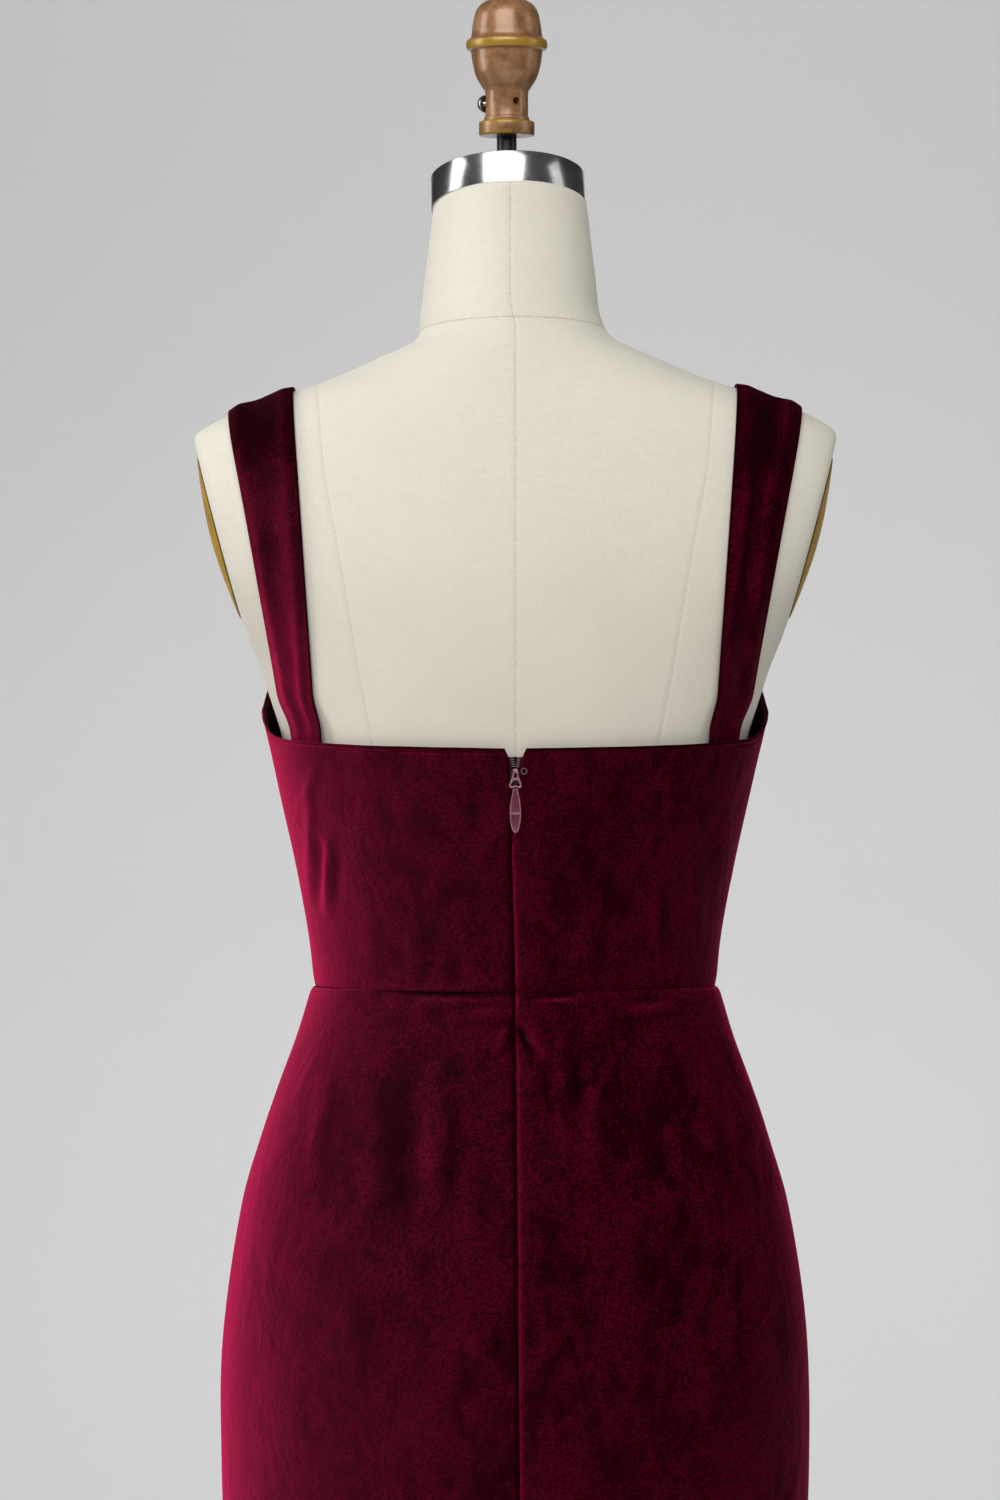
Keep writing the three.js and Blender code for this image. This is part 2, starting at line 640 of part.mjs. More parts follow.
// The finial is a turned knob over a collar, which a screw clamps on the rod.
const finialProfile = [
  [0, 1690.3],
  [9.5, 1690.1],
  [14.4, 1688.3],
  [17.6, 1685.2],
  [19.6, 1680.8],
  [20.6, 1676],
  [21.4, 1670],
  [22.2, 1667],
  [24.2, 1665.2],
  [24.9, 1662.6],
  [24.4, 1659.8],
  [21.8, 1658.6],
  [21.3, 1654],
  [20.5, 1649.4],
  [19, 1643.8],
  [16.4, 1638.7],
  [COLLAR.radius, 1634.6],
  [COLLAR.radius, 1618.4],
  [13.9, 1617.2],
  [13.9, 1616],
  [17, 1615.2],
  [17, 1608],
  [16.2, 1606.9],
  [0, 1606.9],
];
function finialGeometry() {
  const [inside, outside] = [ROD.radius - 1, COLLAR.radius + 5];
  const screwHole = bar(SCREW.shankRadius + SLIP, inside, outside, 16)
    .rotateY(Math.PI / 2)
    .translate(0, 0, COLLAR.holeZ);
  const spareHole = bar(COLLAR.spareRadius, inside, outside, 12)
    .rotateX(-Math.PI / 2)
    .rotateZ(COLLAR.spareTurn * DEG)
    .translate(0, 0, COLLAR.holeZ);
  const holes = [screwHole, spareHole].map((hole) => hole.translate(ROD.x, 0, 0));
  return cut(turned(finialProfile, 24).translate(ROD.x, 0, 0), rodHole, ...holes);
}
piece("form_finial", finialGeometry(), copper);

const screwProfile = [
  [0, SCREW.headThick],
  [SCREW.headRadius - 1.4, SCREW.headThick],
  [SCREW.headRadius, SCREW.headThick - 1.4],
  [SCREW.headRadius, 0],
  [SCREW.shankRadius, 0],
  [SCREW.shankRadius, -SCREW.shankLong],
  [0, -SCREW.shankLong],
];
const screw = piece("form_set_screw", turned(screwProfile, 16), steel);
screw.rotation.y = Math.PI / 2;
screw.position.set(ROD.x + COLLAR.radius + SEAM_GAP, 0, COLLAR.holeZ);

// A flat-backed oval plate closes each armhole of the form.
function armPlateGeometry() {
  const { edge, dome } = ARM_PLATE;
  const rise = (share) => edge + (dome - edge) * Math.cos(share * 90 * DEG);
  const profile = [
    ...spaced(0, 0.9, 4).map((share) => [share, rise(share)]),
    [1, edge],
    [1, 0],
    [0, 0],
  ];
  return turned(profile, 32).scale(ARM_PLATE.halfHeight, ARM_PLATE.halfDepth, 1);
}
const lean = Math.atan(ARM_PLANE.lean);
const plateX = ARM_PLANE.x + (ARM_PLATE.centreZ - ARM_PLANE.z) * ARM_PLANE.lean;
for (const [name, side] of Object.entries({ left: 1, right: -1 })) {
  const mesh = piece("form_arm_plate_" + name, armPlateGeometry(), ochre);
  mesh.rotation.y = side * (Math.PI / 2 + lean);
  mesh.position.set(
    side * (plateX + SEAM_GAP * Math.cos(lean)),
    0,
    ARM_PLATE.centreZ - SEAM_GAP * Math.sin(lean),
  );
}

// Stand: a round foot with a boss, and the pole that carries the form
const footProfile = [
  [0, FOOT.bossTop],
  [FOOT.bossRadius - 2, FOOT.bossTop],
  [FOOT.bossRadius, FOOT.bossTop - 2],
  [FOOT.bossRadius, FOOT.thick + 4],
  [FOOT.bossRadius + 4, FOOT.thick],
  [FOOT.radius - 14, FOOT.edge],
  [FOOT.radius - 2, FOOT.edge - 2],
  [FOOT.radius, FOOT.edge - 5],
  [FOOT.radius, 0],
  [0, 0],
];
piece(
  "stand_foot",
  cut(turned(footProfile, 48), bar(POLE.radius + SLIP, POLE.bottom - SLIP, 60, 24)),
  blackIron,
);
piece("stand_pole", bar(POLE.radius, POLE.bottom, POLE.top, 24), blackIron);

export default part;
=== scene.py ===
# %% [markdown]
# # A velvet mermaid dress on a dress form
#
# The dress is cut from burgundy velvet: a close bodice with a straight back neckline on two wide straps, a
# waist seam, and a skirt that holds the hips, narrows to the knee and flares to the hem. An invisible zip
# closes its back. It is shown from behind, on a linen-covered dress form with a steel neck cap and a turned
# finial.
#
# Everything is made in one shared frame: +Z is up, the wearer's left is +X, the dress's back faces +Y and
# the middle of the stand's foot is the origin. So each piece is made straight away at its place, at its
# real size.

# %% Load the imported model
import math

import bpy
import numpy as np
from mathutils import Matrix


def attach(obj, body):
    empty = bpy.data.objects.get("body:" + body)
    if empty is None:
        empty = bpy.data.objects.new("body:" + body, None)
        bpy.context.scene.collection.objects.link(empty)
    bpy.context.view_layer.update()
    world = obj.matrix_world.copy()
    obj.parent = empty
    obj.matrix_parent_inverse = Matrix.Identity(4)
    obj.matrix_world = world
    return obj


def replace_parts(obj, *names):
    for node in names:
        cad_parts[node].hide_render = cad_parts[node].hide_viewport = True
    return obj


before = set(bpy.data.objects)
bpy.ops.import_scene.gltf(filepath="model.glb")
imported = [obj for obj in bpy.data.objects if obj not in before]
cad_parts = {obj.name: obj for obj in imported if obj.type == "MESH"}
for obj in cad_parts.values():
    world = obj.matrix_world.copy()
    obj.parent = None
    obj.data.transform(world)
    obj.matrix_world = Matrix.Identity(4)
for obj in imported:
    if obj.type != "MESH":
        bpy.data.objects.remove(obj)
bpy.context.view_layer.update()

MM = 0.001
print("nodes in the frame:", len(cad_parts))

# %% [markdown]
# ## One set of sizes for the cloth and the form
#
# A tailor pads a form to a list of girths, one for each height, and the dress is cut to the same list with
# some ease. The tables below are such lists. Each row is a height, the half-width, the reach to the back
# and to the front, how boxy the section is (2 is an ellipse), and how far it tilts up to the back and down
# to the front. All in millimetres. A smooth curve runs through each column, so a surface can be asked for
# at any height.

# %% Tables of the form, the bodice and the skirt
CLOTH = 1.6  # velvet and its backing
SEAM_LAP = 0.1  # how far sewn pieces reach past their seam
WAIST = 1090
HEM = 12
HEIGHT, HALF_WIDTH, BACK, FRONT, SQUARE, TILT_BACK, TILT_FRONT = range(7)

form_sections = np.array([
    [760, 173, 115, 107, 2.2, 0, 0],
    [800, 175, 119.5, 109, 2.2, 0, 0],
    [880, 173.6, 126, 112, 2.2, 0, 0],
    [960, 161.4, 116.5, 108.8, 2.2, 0, 0],
    [1000, 150, 105.5, 103.5, 2.2, 0, 0],
    [1030, 139.8, 96.5, 98.5, 2.2, 0, 0],
    [1060, 127.8, 88.5, 92.5, 2.2, 0, 0],
    [1090, 119, 85, 89, 2.2, 0, 0],
    [1120, 121.8, 87, 92, 2.2, 0, 0],
    [1160, 127.6, 92.3, 98.5, 2.24, 0, 0],
    [1200, 134, 98, 107, 2.28, 0, 0],
    [1240, 141.4, 103, 115.5, 2.3, 0, 0],
    [1264, 148.8, 105, 118, 2.3, 0, 0],
    [1288, 157.5, 106.3, 116.5, 2.3, 0, 0],
    [1312, 172, 106.5, 112.5, 2.28, 0, 0],
    [1336, 188, 105.5, 106, 2.25, 0, 0],
    [1360, 200, 103, 98.5, 2.2, 0, 0],
    [1384, 206, 99, 90.5, 2.2, 0, 0.02],
    [1404, 206, 95, 83.5, 2.2, 0, 0.05],
    [1421, 200, 90.5, 77, 2.2, 0.01, 0.1],
    [1432, 185, 87, 72, 2.2, 0.02, 0.15],
    [1444, 157, 82, 67, 2.2, 0.04, 0.2],
    [1456, 118, 77, 62, 2.15, 0.06, 0.26],
    [1469, 87, 72, 58, 2.1, 0.07, 0.32],
    [1481, 61.5, 66, 54.5, 2.05, 0.08, 0.36],
    [1496, 55, 60.5, 51.5, 2, 0.09, 0.37],
    [1520, 52, 54, 49.5, 2, 0.15, 0.33],
    [1542, 49.2, 49.6, 47.6, 2, 0.21, 0.29],
    [1563, 46.8, 47, 46.5, 2, 0.261, 0.261],
])
bodice_sections = np.array([
    [1090, 122.6, 89, 93, 2.2, 0, 0],
    [1120, 125.8, 91.4, 96.2, 2.2, 0, 0],
    [1160, 132.8, 97.3, 103.6, 2.24, 0, 0],
    [1200, 141.4, 103.6, 113, 2.28, 0, 0],
    [1240, 150.4, 109.4, 122, 2.3, 0, 0],
    [1264, 157, 111.4, 124.8, 2.3, 0, 0],
    [1288, 166, 112.7, 123.3, 2.3, 0, 0],
    [1312, 179.5, 112.9, 119.3, 2.28, 0, 0],
    [1336, 195, 111.9, 112.8, 2.25, 0, 0],
])
skirt_sections = np.array([
    [12, 392, 361, 352, 2, 0, 0],
    [70, 356, 323, 315, 2, 0, 0],
    [140, 309, 275, 268, 2, 0, 0],
    [220, 254, 219, 212, 2, 0, 0],
    [300, 206, 170, 163, 2, 0, 0],
    [370, 174, 137, 130, 2.05, 0, 0],
    [430, 158, 119, 113, 2.1, 0, 0],
    [490, 154.5, 113.5, 108, 2.15, 0, 0],
    [560, 159.5, 114.3, 108, 2.2, 0, 0],
    [650, 169, 117, 109.6, 2.2, 0, 0],
    [730, 176, 119.6, 111.2, 2.2, 0, 0],
    [800, 178.8, 124.2, 113.4, 2.2, 0, 0],
    [880, 177.4, 130.2, 116.1, 2.2, 0, 0],
    [960, 165.3, 120.7, 112.9, 2.2, 0, 0],
    [1000, 153.9, 109.7, 107.6, 2.2, 0, 0],
    [1030, 143.8, 100.7, 102.6, 2.2, 0, 0],
    [1060, 133, 93.2, 97.1, 2.2, 0, 0],
    [1090, 124.2, 89.6, 93.8, 2.2, 0, 0],
])
# The bodice's top edge: the turn away from the centre back in degrees, and the height.
top_edge = np.array([
    [0, 1234], [35, 1236], [62, 1239], [72, 1241], [80, 1245], [90, 1255], [100, 1262], [108, 1271],
    [118, 1284], [130, 1303], [138, 1313], [150, 1311], [166, 1302], [180, 1298],
])
# The flutes of the hem: their turn, reach, half-width in degrees, and the height where they fade out.
flutes = [
    (12, 36, 9.5, 430), (40, 28, 8.5, 390), (67, 38, 9.5, 440), (97, 31, 9, 410), (124, 37, 9.5, 430),
    (151, 27, 8.5, 380), (178, 36, 9.5, 440), (206, 31, 9, 400), (234, 38, 10, 430), (262, 29, 8.5, 390),
    (289, 35, 9.5, 430), (316, 30, 9, 400), (343, 34, 9, 420),
]
print("rows of sizes:", len(form_sections), len(bodice_sections), len(skirt_sections))


# %% Points of a surface at a turn and a height
def bell(away, width):
    """A height of 1 that fades out smoothly with the distance away."""
    return np.exp(-((away / width) ** 2))


def smooth_column(rows, column, at):
    """One column of a table at any height, on a smooth curve through the table's rows."""
    heights, values = rows[:, HEIGHT], rows[:, column]
    last = len(rows) - 1
    below = np.maximum(np.arange(last + 1) - 1, 0)
    above = np.minimum(np.arange(last + 1) + 1, last)
    slopes = (values[above] - values[below]) / (heights[above] - heights[below])
    at = np.clip(at, heights[0], heights[-1])
    i = np.clip(np.searchsorted(heights, at, side="right") - 1, 0, last - 1)
    span = heights[i + 1] - heights[i]
    u = (at - heights[i]) / span
    rise = u * u * (3 - 2 * u)
    leave = u * (1 - u) ** 2 * span * slopes[i]
    arrive = u * u * (u - 1) * span * slopes[i + 1]
    return values[i] * (1 - rise) + values[i + 1] * rise + leave + arrive


def bust_at(x, z, bust_x=84, bust_z=1260, across=56, up=48, out=30):
    """How far the bust carries the front outwards."""
    height = ((z - bust_z) / up) ** 2
    return out * sum(np.exp(-(((x - side * bust_x) / across) ** 2) - height) for side in (1, -1))


def figure_point(rows, turn, z):
    """A point of a sectioned surface. A turn of 0 is the wearer's left, 90 is the centre back."""
    turn, z = np.broadcast_arrays(np.asarray(turn, float), np.asarray(z, float))
    c, s = np.cos(np.radians(turn)), np.sin(np.radians(turn))
    power = 2 / smooth_column(rows, SQUARE, z)
    is_back = s >= 0
    x = smooth_column(rows, HALF_WIDTH, z) * np.sign(c) * np.abs(c) ** power
    reach = np.where(is_back, smooth_column(rows, BACK, z), smooth_column(rows, FRONT, z))
    reach = reach * np.abs(s) ** power
    y = np.where(is_back, reach, -reach - bust_at(x, z) * np.abs(s))
    tilt = np.where(is_back, smooth_column(rows, TILT_BACK, z), smooth_column(rows, TILT_FRONT, z))
    return np.stack([x, y, z + y * tilt], axis=-1)


def gentle(value, start, end):
    """A share from 0 to 1 that starts and ends gently."""
    share = np.clip((value - start) / (end - start), 0, 1)
    return share * share * (3 - 2 * share)


LEAN = {"neck": 3, "shoulders": 0.0075, "top": 0.022}


def askew(p, z):
    """The form's neck leans to the wearer's left, and its left shoulder is the lower one."""
    made = p.copy()
    fall = LEAN["shoulders"] * gentle(z, 1380, 1440) + LEAN["top"] * gentle(z, 1510, 1560)
    made[..., 2] -= p[..., 0] * fall
    made[..., 0] += LEAN["neck"] * gentle(z, 1478, 1500)
    return made


def turn_at(rows, x, z):
    """The turn on the back half at which a section reaches x."""
    share = np.clip(x / smooth_column(rows, HALF_WIDTH, z), -1, 1)
    bent = np.sign(share) * np.abs(share) ** (smooth_column(rows, SQUARE, z) / 2)
    return np.degrees(np.arccos(bent))


def skirt_point(turn, z):
    """The skirt with its flutes, which stand out more and more towards the hem."""
    p = figure_point(skirt_sections, turn, z)
    out = np.zeros(p.shape[:-1])
    for at, reach, spread, start in flutes:
        fall = np.maximum(0, (start - z) / (start - HEM)) ** 1.4
        away = (turn - at + 540) % 360 - 180
        out = out + reach * fall * bell(away, spread)
    flat = np.hypot(p[..., 0], p[..., 1])
    p[..., 0] *= 1 + out / flat
    p[..., 1] *= 1 + out / flat
    return p


def top_height(turn):
    """The bodice's top edge at a turn."""
    away = np.abs((turn - 90 + 540) % 360 - 180)
    return smooth_column(top_edge, 1, away)


print("centre back at the waist:", figure_point(bodice_sections, 90, WAIST).round(1))

# %% [markdown]
# ## Camera, floor and light
#
# The view is straight from behind, level with the back neckline, from far enough away to keep the dress in
# proportion. It takes in the dress from the finial down to the thigh. A pale floor runs up into a pale
# backdrop beyond the form. The steel ring tells how the studio was lit: a wide soft light high over the
# camera, a tall narrow one at the wearer's left, a weak one at the right, and darkness between them. Velvet
# swallows light that falls straight on it and shines where the light only grazes it, which is what the
# narrow light at the left is for.

# %% Camera
VIEW_HEIGHT = 0.9135  # what the picture takes in from top to bottom, at the middle of the form
SENSOR = 36
CAMERA = {"x": 0.0091, "distance": 3.4, "height": 1.2331}

scene = bpy.context.scene
scene.view_settings.view_transform = "Standard"
camera_data = bpy.data.cameras.new("view_from_behind")
camera_data.sensor_width = SENSOR
camera_data.lens = SENSOR * CAMERA["distance"] / VIEW_HEIGHT
camera = bpy.data.objects.new("view_from_behind", camera_data)
camera.location = (CAMERA["x"], CAMERA["distance"], CAMERA["height"])
camera.rotation_euler = (math.radians(90), 0, math.radians(180))
scene.collection.objects.link(camera)
scene.camera = camera
print("lens in mm:", round(camera_data.lens, 1))


# %% Helpers for paint and light
def new_material(name, **numbers):
    """A material whose shader has these numbers and colours on its own sockets."""
    material = bpy.data.materials.new(name)
    material.use_nodes = True
    shader = material.node_tree.nodes["Principled BSDF"]
    for socket, value in numbers.items():
        shader.inputs[socket.replace("_", " ")].default_value = value
    return material


def add_node(material, kind, settings=None, **links):
    """A node, with its settings, and with numbers, colours or other nodes' outputs on its inputs."""
    tree = material.node_tree
    node = tree.nodes.new(kind)
    for key, value in (settings or {}).items():
        setattr(node, key, value)
    for key, value in links.items():
        socket = node.inputs[int(key[1:])] if key[1:].isdigit() else node.inputs[key.replace("_", " ")]
        if isinstance(value, bpy.types.NodeSocket):
            tree.links.new(value, socket)
        else:
            socket.default_value = value
    return node


def object_place(material, scale=(1, 1, 1)):
    """The place on the object, stretched for a pattern."""
    place = add_node(material, "ShaderNodeTexCoord")
    mapped = add_node(material, "ShaderNodeMapping", Vector=place.outputs["Object"], Scale=scale)
    return mapped.outputs["Vector"]


def noise(material, where, scale, detail=2.0, roughness=0.5, distortion=0.0):
    """A cloudy pattern between 0 and 1."""
    made = add_node(
        material, "ShaderNodeTexNoise", Vector=where, Scale=scale, Detail=detail, Roughness=roughness,
        Distortion=distortion,
    )
    return made.outputs["Fac"]


def between(material, value, low, high, to_low=0.0, to_high=1.0):
    """A value taken from one range to another, and held inside it."""
    made = add_node(
        material, "ShaderNodeMapRange", {"interpolation_type": "SMOOTHSTEP"},
        Value=value, **{"From Min": low, "From Max": high, "To Min": to_low, "To Max": to_high},
    )
    return made.outputs["Result"]


def maths(material, what, a, b=0.0):
    """A sum, product or other sum-like result of two values."""
    return add_node(material, "ShaderNodeMath", {"operation": what}, _0=a, _1=b).outputs["Value"]


def blend(material, share, first, second):
    """A colour between two colours."""
    mix = add_node(material, "ShaderNodeMix", {"data_type": "RGBA"}, _0=share, _6=first, _7=second)
    return mix.outputs[2]


def relief(material, height, distance, strength=1.0, under=None):
    """A bump of this height in metres, over another bump where there is one."""
    bump = add_node(material, "ShaderNodeBump", Height=height, Distance=distance, Strength=strength)
    if under is not None:
        material.node_tree.links.new(under, bump.inputs["Normal"])
    return bump.outputs["Normal"]


def paint(material, colour=None, normal=None, rough=None):
    """Sends a colour, a bump or a roughness to the shader."""
    shader = material.node_tree.nodes["Principled BSDF"]
    for socket, value in (("Base Color", colour), ("Normal", normal), ("Roughness", rough)):
        if value is not None:
            material.node_tree.links.new(value, shader.inputs[socket])


def area_light(name, place, aim, size, watts):
    """A soft light, turned towards a point."""
    data = bpy.data.lights.new(name, "AREA")
    data.shape = "RECTANGLE"
    data.size, data.size_y = size
    data.energy = watts
    light = bpy.data.objects.new(name, data)
    light.location = place
    way = np.array(aim, float) - np.array(place, float)
    tip = math.atan2(np.hypot(way[0], way[1]), -way[2])
    light.rotation_euler = (tip, 0, math.atan2(way[0], -way[1]) + math.pi)
    scene.collection.objects.link(light)
    return light


print("helpers ready")

# %% Floor, backdrop and lights
FLOOR_HALF = 4.6
SWEEP = 1.0  # radius where the floor turns up into the backdrop


def sweep_profile():
    """The floor's edge line in Y and Z: flat, a quarter round, and up."""
    line = [(FLOOR_HALF, 0.0), (-FLOOR_HALF + SWEEP, 0.0)]
    for step in range(1, 13):
        angle = math.radians(90 * step / 12)
        line.append((-FLOOR_HALF + SWEEP - SWEEP * math.sin(angle), SWEEP * (1 - math.cos(angle))))
    return line + [(-FLOOR_HALF, 4.2)]


backdrop_mesh = bpy.data.meshes.new("backdrop")
profile = sweep_profile()
backdrop_points = [(side * FLOOR_HALF, y, z) for y, z in profile for side in (-1, 1)]
backdrop_faces = [(2 * i, 2 * i + 2, 2 * i + 3, 2 * i + 1) for i in range(len(profile) - 1)]
backdrop_mesh.from_pydata(backdrop_points, [], backdrop_faces)
backdrop = bpy.data.objects.new("backdrop", backdrop_mesh)
scene.collection.objects.link(backdrop)
backdrop_mesh.shade_smooth()
pale_paper = new_material("pale_paper", Roughness=0.9)
paper_place = object_place(pale_paper)
paper_tone = noise(pale_paper, paper_place, 0.8, 3)
paper_tone_and_shade = blend(pale_paper, paper_tone, (0.7, 0.7, 0.7, 1), (0.74, 0.74, 0.74, 1))
# Painted shade: the backdrop's colour is painted darker higher up the wall.
up_the_wall = add_node(pale_paper, "ShaderNodeSeparateXYZ", Vector=paper_place).outputs["Z"]
paper_tone_and_shade = blend(pale_paper, between(pale_paper, up_the_wall, 0.7, 2.5), paper_tone_and_shade, (0.5, 0.5, 0.5, 1))
paint(pale_paper, paper_tone_and_shade)
backdrop_mesh.materials.append(pale_paper)

world = bpy.data.worlds.new("studio")
world.use_nodes = True
world.node_tree.nodes["Background"].inputs["Color"].default_value = (1, 1, 1, 1)
world.node_tree.nodes["Background"].inputs["Strength"].default_value = 0.12
scene.world = world
area_light("high_front", (0.5, 3.6, 3.9), (0, 0, 1.3), (4.6, 2.8), 205)
area_light("strip_left", (2.6, 0.1, 1.9), (0, 0, 1.3), (1.1, 2.4), 36)
area_light("fill_right", (-2.6, 0.4, 1.9), (0, 0, 1.3), (0.9, 2.2), 9)
area_light("from_the_far_side", (2.2, -2.8, 2.6), (0, 0, 1.0), (1.6, 2.0), 25)
area_light("backdrop_light", (-0.5, -2.4, 3.4), (-1.2, -4.6, 0.7), (4.0, 0.8), 50)


def flag(name, x, y, width, height, turn):
    """A black sheet that only reflections see, standing in for the dark parts of the studio: it puts dark
    bands into the steel's reflections.
    """
    bpy.ops.object.select_all(action="DESELECT")
    bpy.ops.mesh.primitive_plane_add(size=1, location=(0, 0, 0))
    made = bpy.context.object
    made.name = made.data.name = name
    made.scale = (width, height, 1)
    made.rotation_euler = (math.radians(90), 0, turn)
    made.location = (x, y, 1.7)
    bpy.ops.object.transform_apply(location=True, rotation=True, scale=True)
    made.data.materials.append(flag_cloth)
    made.visible_camera = made.visible_diffuse = made.visible_shadow = made.visible_transmission = False


flag_cloth = new_material("black_flag_cloth", Roughness=1.0, Specular_IOR_Level=0.0)
flag_weave = noise(flag_cloth, object_place(flag_cloth), 300, 2)
paint(flag_cloth, blend(flag_cloth, flag_weave, (0.05, 0.05, 0.05, 1), (0.09, 0.09, 0.09, 1)))
flag("flag_left", 1.7, -1.3, 2.6, 3.2, math.radians(50))
flag("flag_right", -1.7, -1.3, 2.6, 3.2, math.radians(-50))

# %% [markdown]
# ## Velvet, its backing, and the other finishes
#
# Velvet is a dark ground with upright pile. The pile lies this way and that in patches a few centimetres
# wide, which look lighter or darker, and it glows where the cloth turns away from the eye. So the colour is
# mottled at two scales, a fine grain stands for the pile, and sheen gives the glow. Shade is painted in
# along the seams and over the shoulders, and a fold's slopes are painted lighter towards the light, with
# painted highlights. The velvet's patterns keep to places on the object, and a plain weave keeps to its
# cloth's own flat map, in metres.


# %% Velvet
NAP_LEAN = (0.6, 0, -0.4)  # the pile lies over to the wearer's left and downwards
NAP_OVER_SHOULDER = (0.05, 0.25, -0.85)


def lean_over(velvet, facing, shoulder):
    """Leans the pile over, one way on the body and another over the shoulders."""
    body = maths(velvet, "SUBTRACT", 1.0, shoulder)
    for lean, share in ((NAP_LEAN, body), (NAP_OVER_SHOULDER, shoulder)):
        part = add_node(velvet, "ShaderNodeVectorMath", {"operation": "SCALE"}, _0=lean, Scale=share)
        added = {"_0": facing, "_1": part.outputs[0]}
        facing = add_node(velvet, "ShaderNodeVectorMath", {"operation": "ADD"}, **added).outputs[0]
    return add_node(velvet, "ShaderNodeVectorMath", {"operation": "NORMALIZE"}, _0=facing).outputs[0]


def make_velvet(name, dark, lit, bright, sheen):
    """Velvet of two colours of lying pile, with painted shade along seams and over the shoulders, painted
    light and shade on the folds' slopes, and a bright painted highlight where a fold faces the light.
    """
    velvet = new_material(
        name, Roughness=0.7, Specular_IOR_Level=0.1, Specular_Tint=sheen, Sheen_Weight=1.0,
        Sheen_Roughness=0.36, Sheen_Tint=sheen,
    )
    here = object_place(velvet)
    stretched = object_place(velvet, (1, 1, 0.6))
    height = add_node(velvet, "ShaderNodeSeparateXYZ", Vector=here).outputs["Z"]
    shoulder = between(velvet, height, 1.375, 1.43)
    wide = between(velvet, noise(velvet, stretched, 24, 3, 0.55, 0.5), 0.34, 0.7)
    patches = between(velvet, noise(velvet, stretched, 85, 4, 0.65, 0.5), 0.3, 0.72)
    grain = noise(velvet, here, 620, 3, 0.75)
    wide_share = maths(velvet, "MULTIPLY", wide, 0.45)
    lying = maths(velvet, "ADD", wide_share, maths(velvet, "MULTIPLY", patches, 0.55))
    speckled = maths(velvet, "MULTIPLY", lying, between(velvet, grain, 0.36, 0.68, 0.05, 2.6))
    # Painted shade: the seams and panel edges are painted darker, and so is the velvet over the shoulders.
    seam = add_node(velvet, "ShaderNodeAttribute", {"attribute_name": "seam_shade"}).outputs["Fac"]
    clear_of_seams = maths(velvet, "SUBTRACT", 1.0, seam)
    painted_light_and_shade = maths(velvet, "MULTIPLY", clear_of_seams, between(velvet, shoulder, 0, 1, 1, 0.4))
    # Painted light and shade: a fold's slope is painted lighter where it faces the light and darker where it
    # faces away.
    lit_slope = add_node(velvet, "ShaderNodeAttribute", {"attribute_name": "painted_fold_light"}).outputs["Fac"]
    painted_light_and_shade = maths(velvet, "MULTIPLY", painted_light_and_shade, between(velvet, lit_slope, -0.3, 0.3, 0.1, 1.9))
    colour = blend(velvet, maths(velvet, "MULTIPLY", speckled, painted_light_and_shade), dark, lit)
    # Painted highlight: a bright colour on folds that face the light, broken up by the grain and kept off
    # the seams.
    flecks = between(velvet, grain, 0.4, 0.62, 0.3, 1.0)
    glint = maths(velvet, "MULTIPLY", between(velvet, lit_slope, 0.1, 0.6), flecks)
    glint = maths(velvet, "MULTIPLY", glint, clear_of_seams)
    colour = blend(velvet, glint, colour, bright)
    soft = relief(velvet, wide, 0.0018, 0.5)
    soft = relief(velvet, noise(velvet, here, 130, 4, 0.65, 0.4), 0.0008, 0.5, soft)
    pile = relief(velvet, grain, 0.0005, 1.0, soft)
    paint(velvet, colour, lean_over(velvet, pile, shoulder))
    return velvet


velvet = make_velvet(
    "burgundy_velvet", (0.001, 0.0, 0.0002, 1), (0.056, 0.0009, 0.0075, 1), (0.2, 0.006, 0.04, 1),
    (1.0, 0.02, 0.15, 1),
)


# %% Lining and zip tape
def make_weave(name, dark, light, threads, rough=0.8):
    """A plain woven cloth: threads one way and the other, as fine ridges."""
    cloth = new_material(name, Roughness=rough, Specular_IOR_Level=0.08)
    own = add_node(cloth, "ShaderNodeUVMap", {"uv_map": "flat"}).outputs["UV"]
    across = add_node(cloth, "ShaderNodeTexWave", {"bands_direction": "X"}, Vector=own, Scale=threads)
    along = add_node(cloth, "ShaderNodeTexWave", {"bands_direction": "Y"}, Vector=own, Scale=threads)
    weave = maths(cloth, "MULTIPLY", across.outputs["Fac"], along.outputs["Fac"])
    slubs = noise(cloth, own, threads * 0.6, 3)
    colour = blend(cloth, maths(cloth, "MULTIPLY", weave, slubs), dark, light)
    paint(cloth, colour, relief(cloth, weave, 0.0002, 0.6))
    return cloth


lining = make_weave("dark_backing", (0.025, 0.001, 0.004, 1), (0.1, 0.005, 0.018, 1), 250)
zip_tape_weave = make_weave("zip_tape_weave", (0.02, 0.001, 0.005, 1), (0.09, 0.008, 0.02, 1), 500, 0.7)
print("cloth finishes:", velvet.name, lining.name, zip_tape_weave.name)

# %% [markdown]
# ## A piece of cloth
#
# A sewn dress is flat panels of one thickness, joined edge to edge. Each panel is laid out here as a grid
# of points on its surface. Its thickness is rolled off at every edge, as a turned or sewn edge is, and it
# dips a little at a seam, where the stitches pull it in. Folds are soft ridges and troughs between two
# points, each with its own width and height. A grid suits this, because each of its lines runs along the
# cloth as a thread does.


# %% Helpers for panels
THIN_EDGE = 0.14  # share of the thickness that is left at the very edge


def shares(steps, crowding=0.85):
    """Shares from 0 to 1 that lie closer together towards both ends."""
    t = np.linspace(0, 1, steps + 1)
    return t - crowding * np.sin(2 * np.pi * t) / (2 * np.pi)


def outward(points):
    """The way out of a surface at each point of its grid."""
    normal = np.cross(np.gradient(points, axis=1), np.gradient(points, axis=0))
    return normal / np.linalg.norm(normal, axis=-1, keepdims=True)


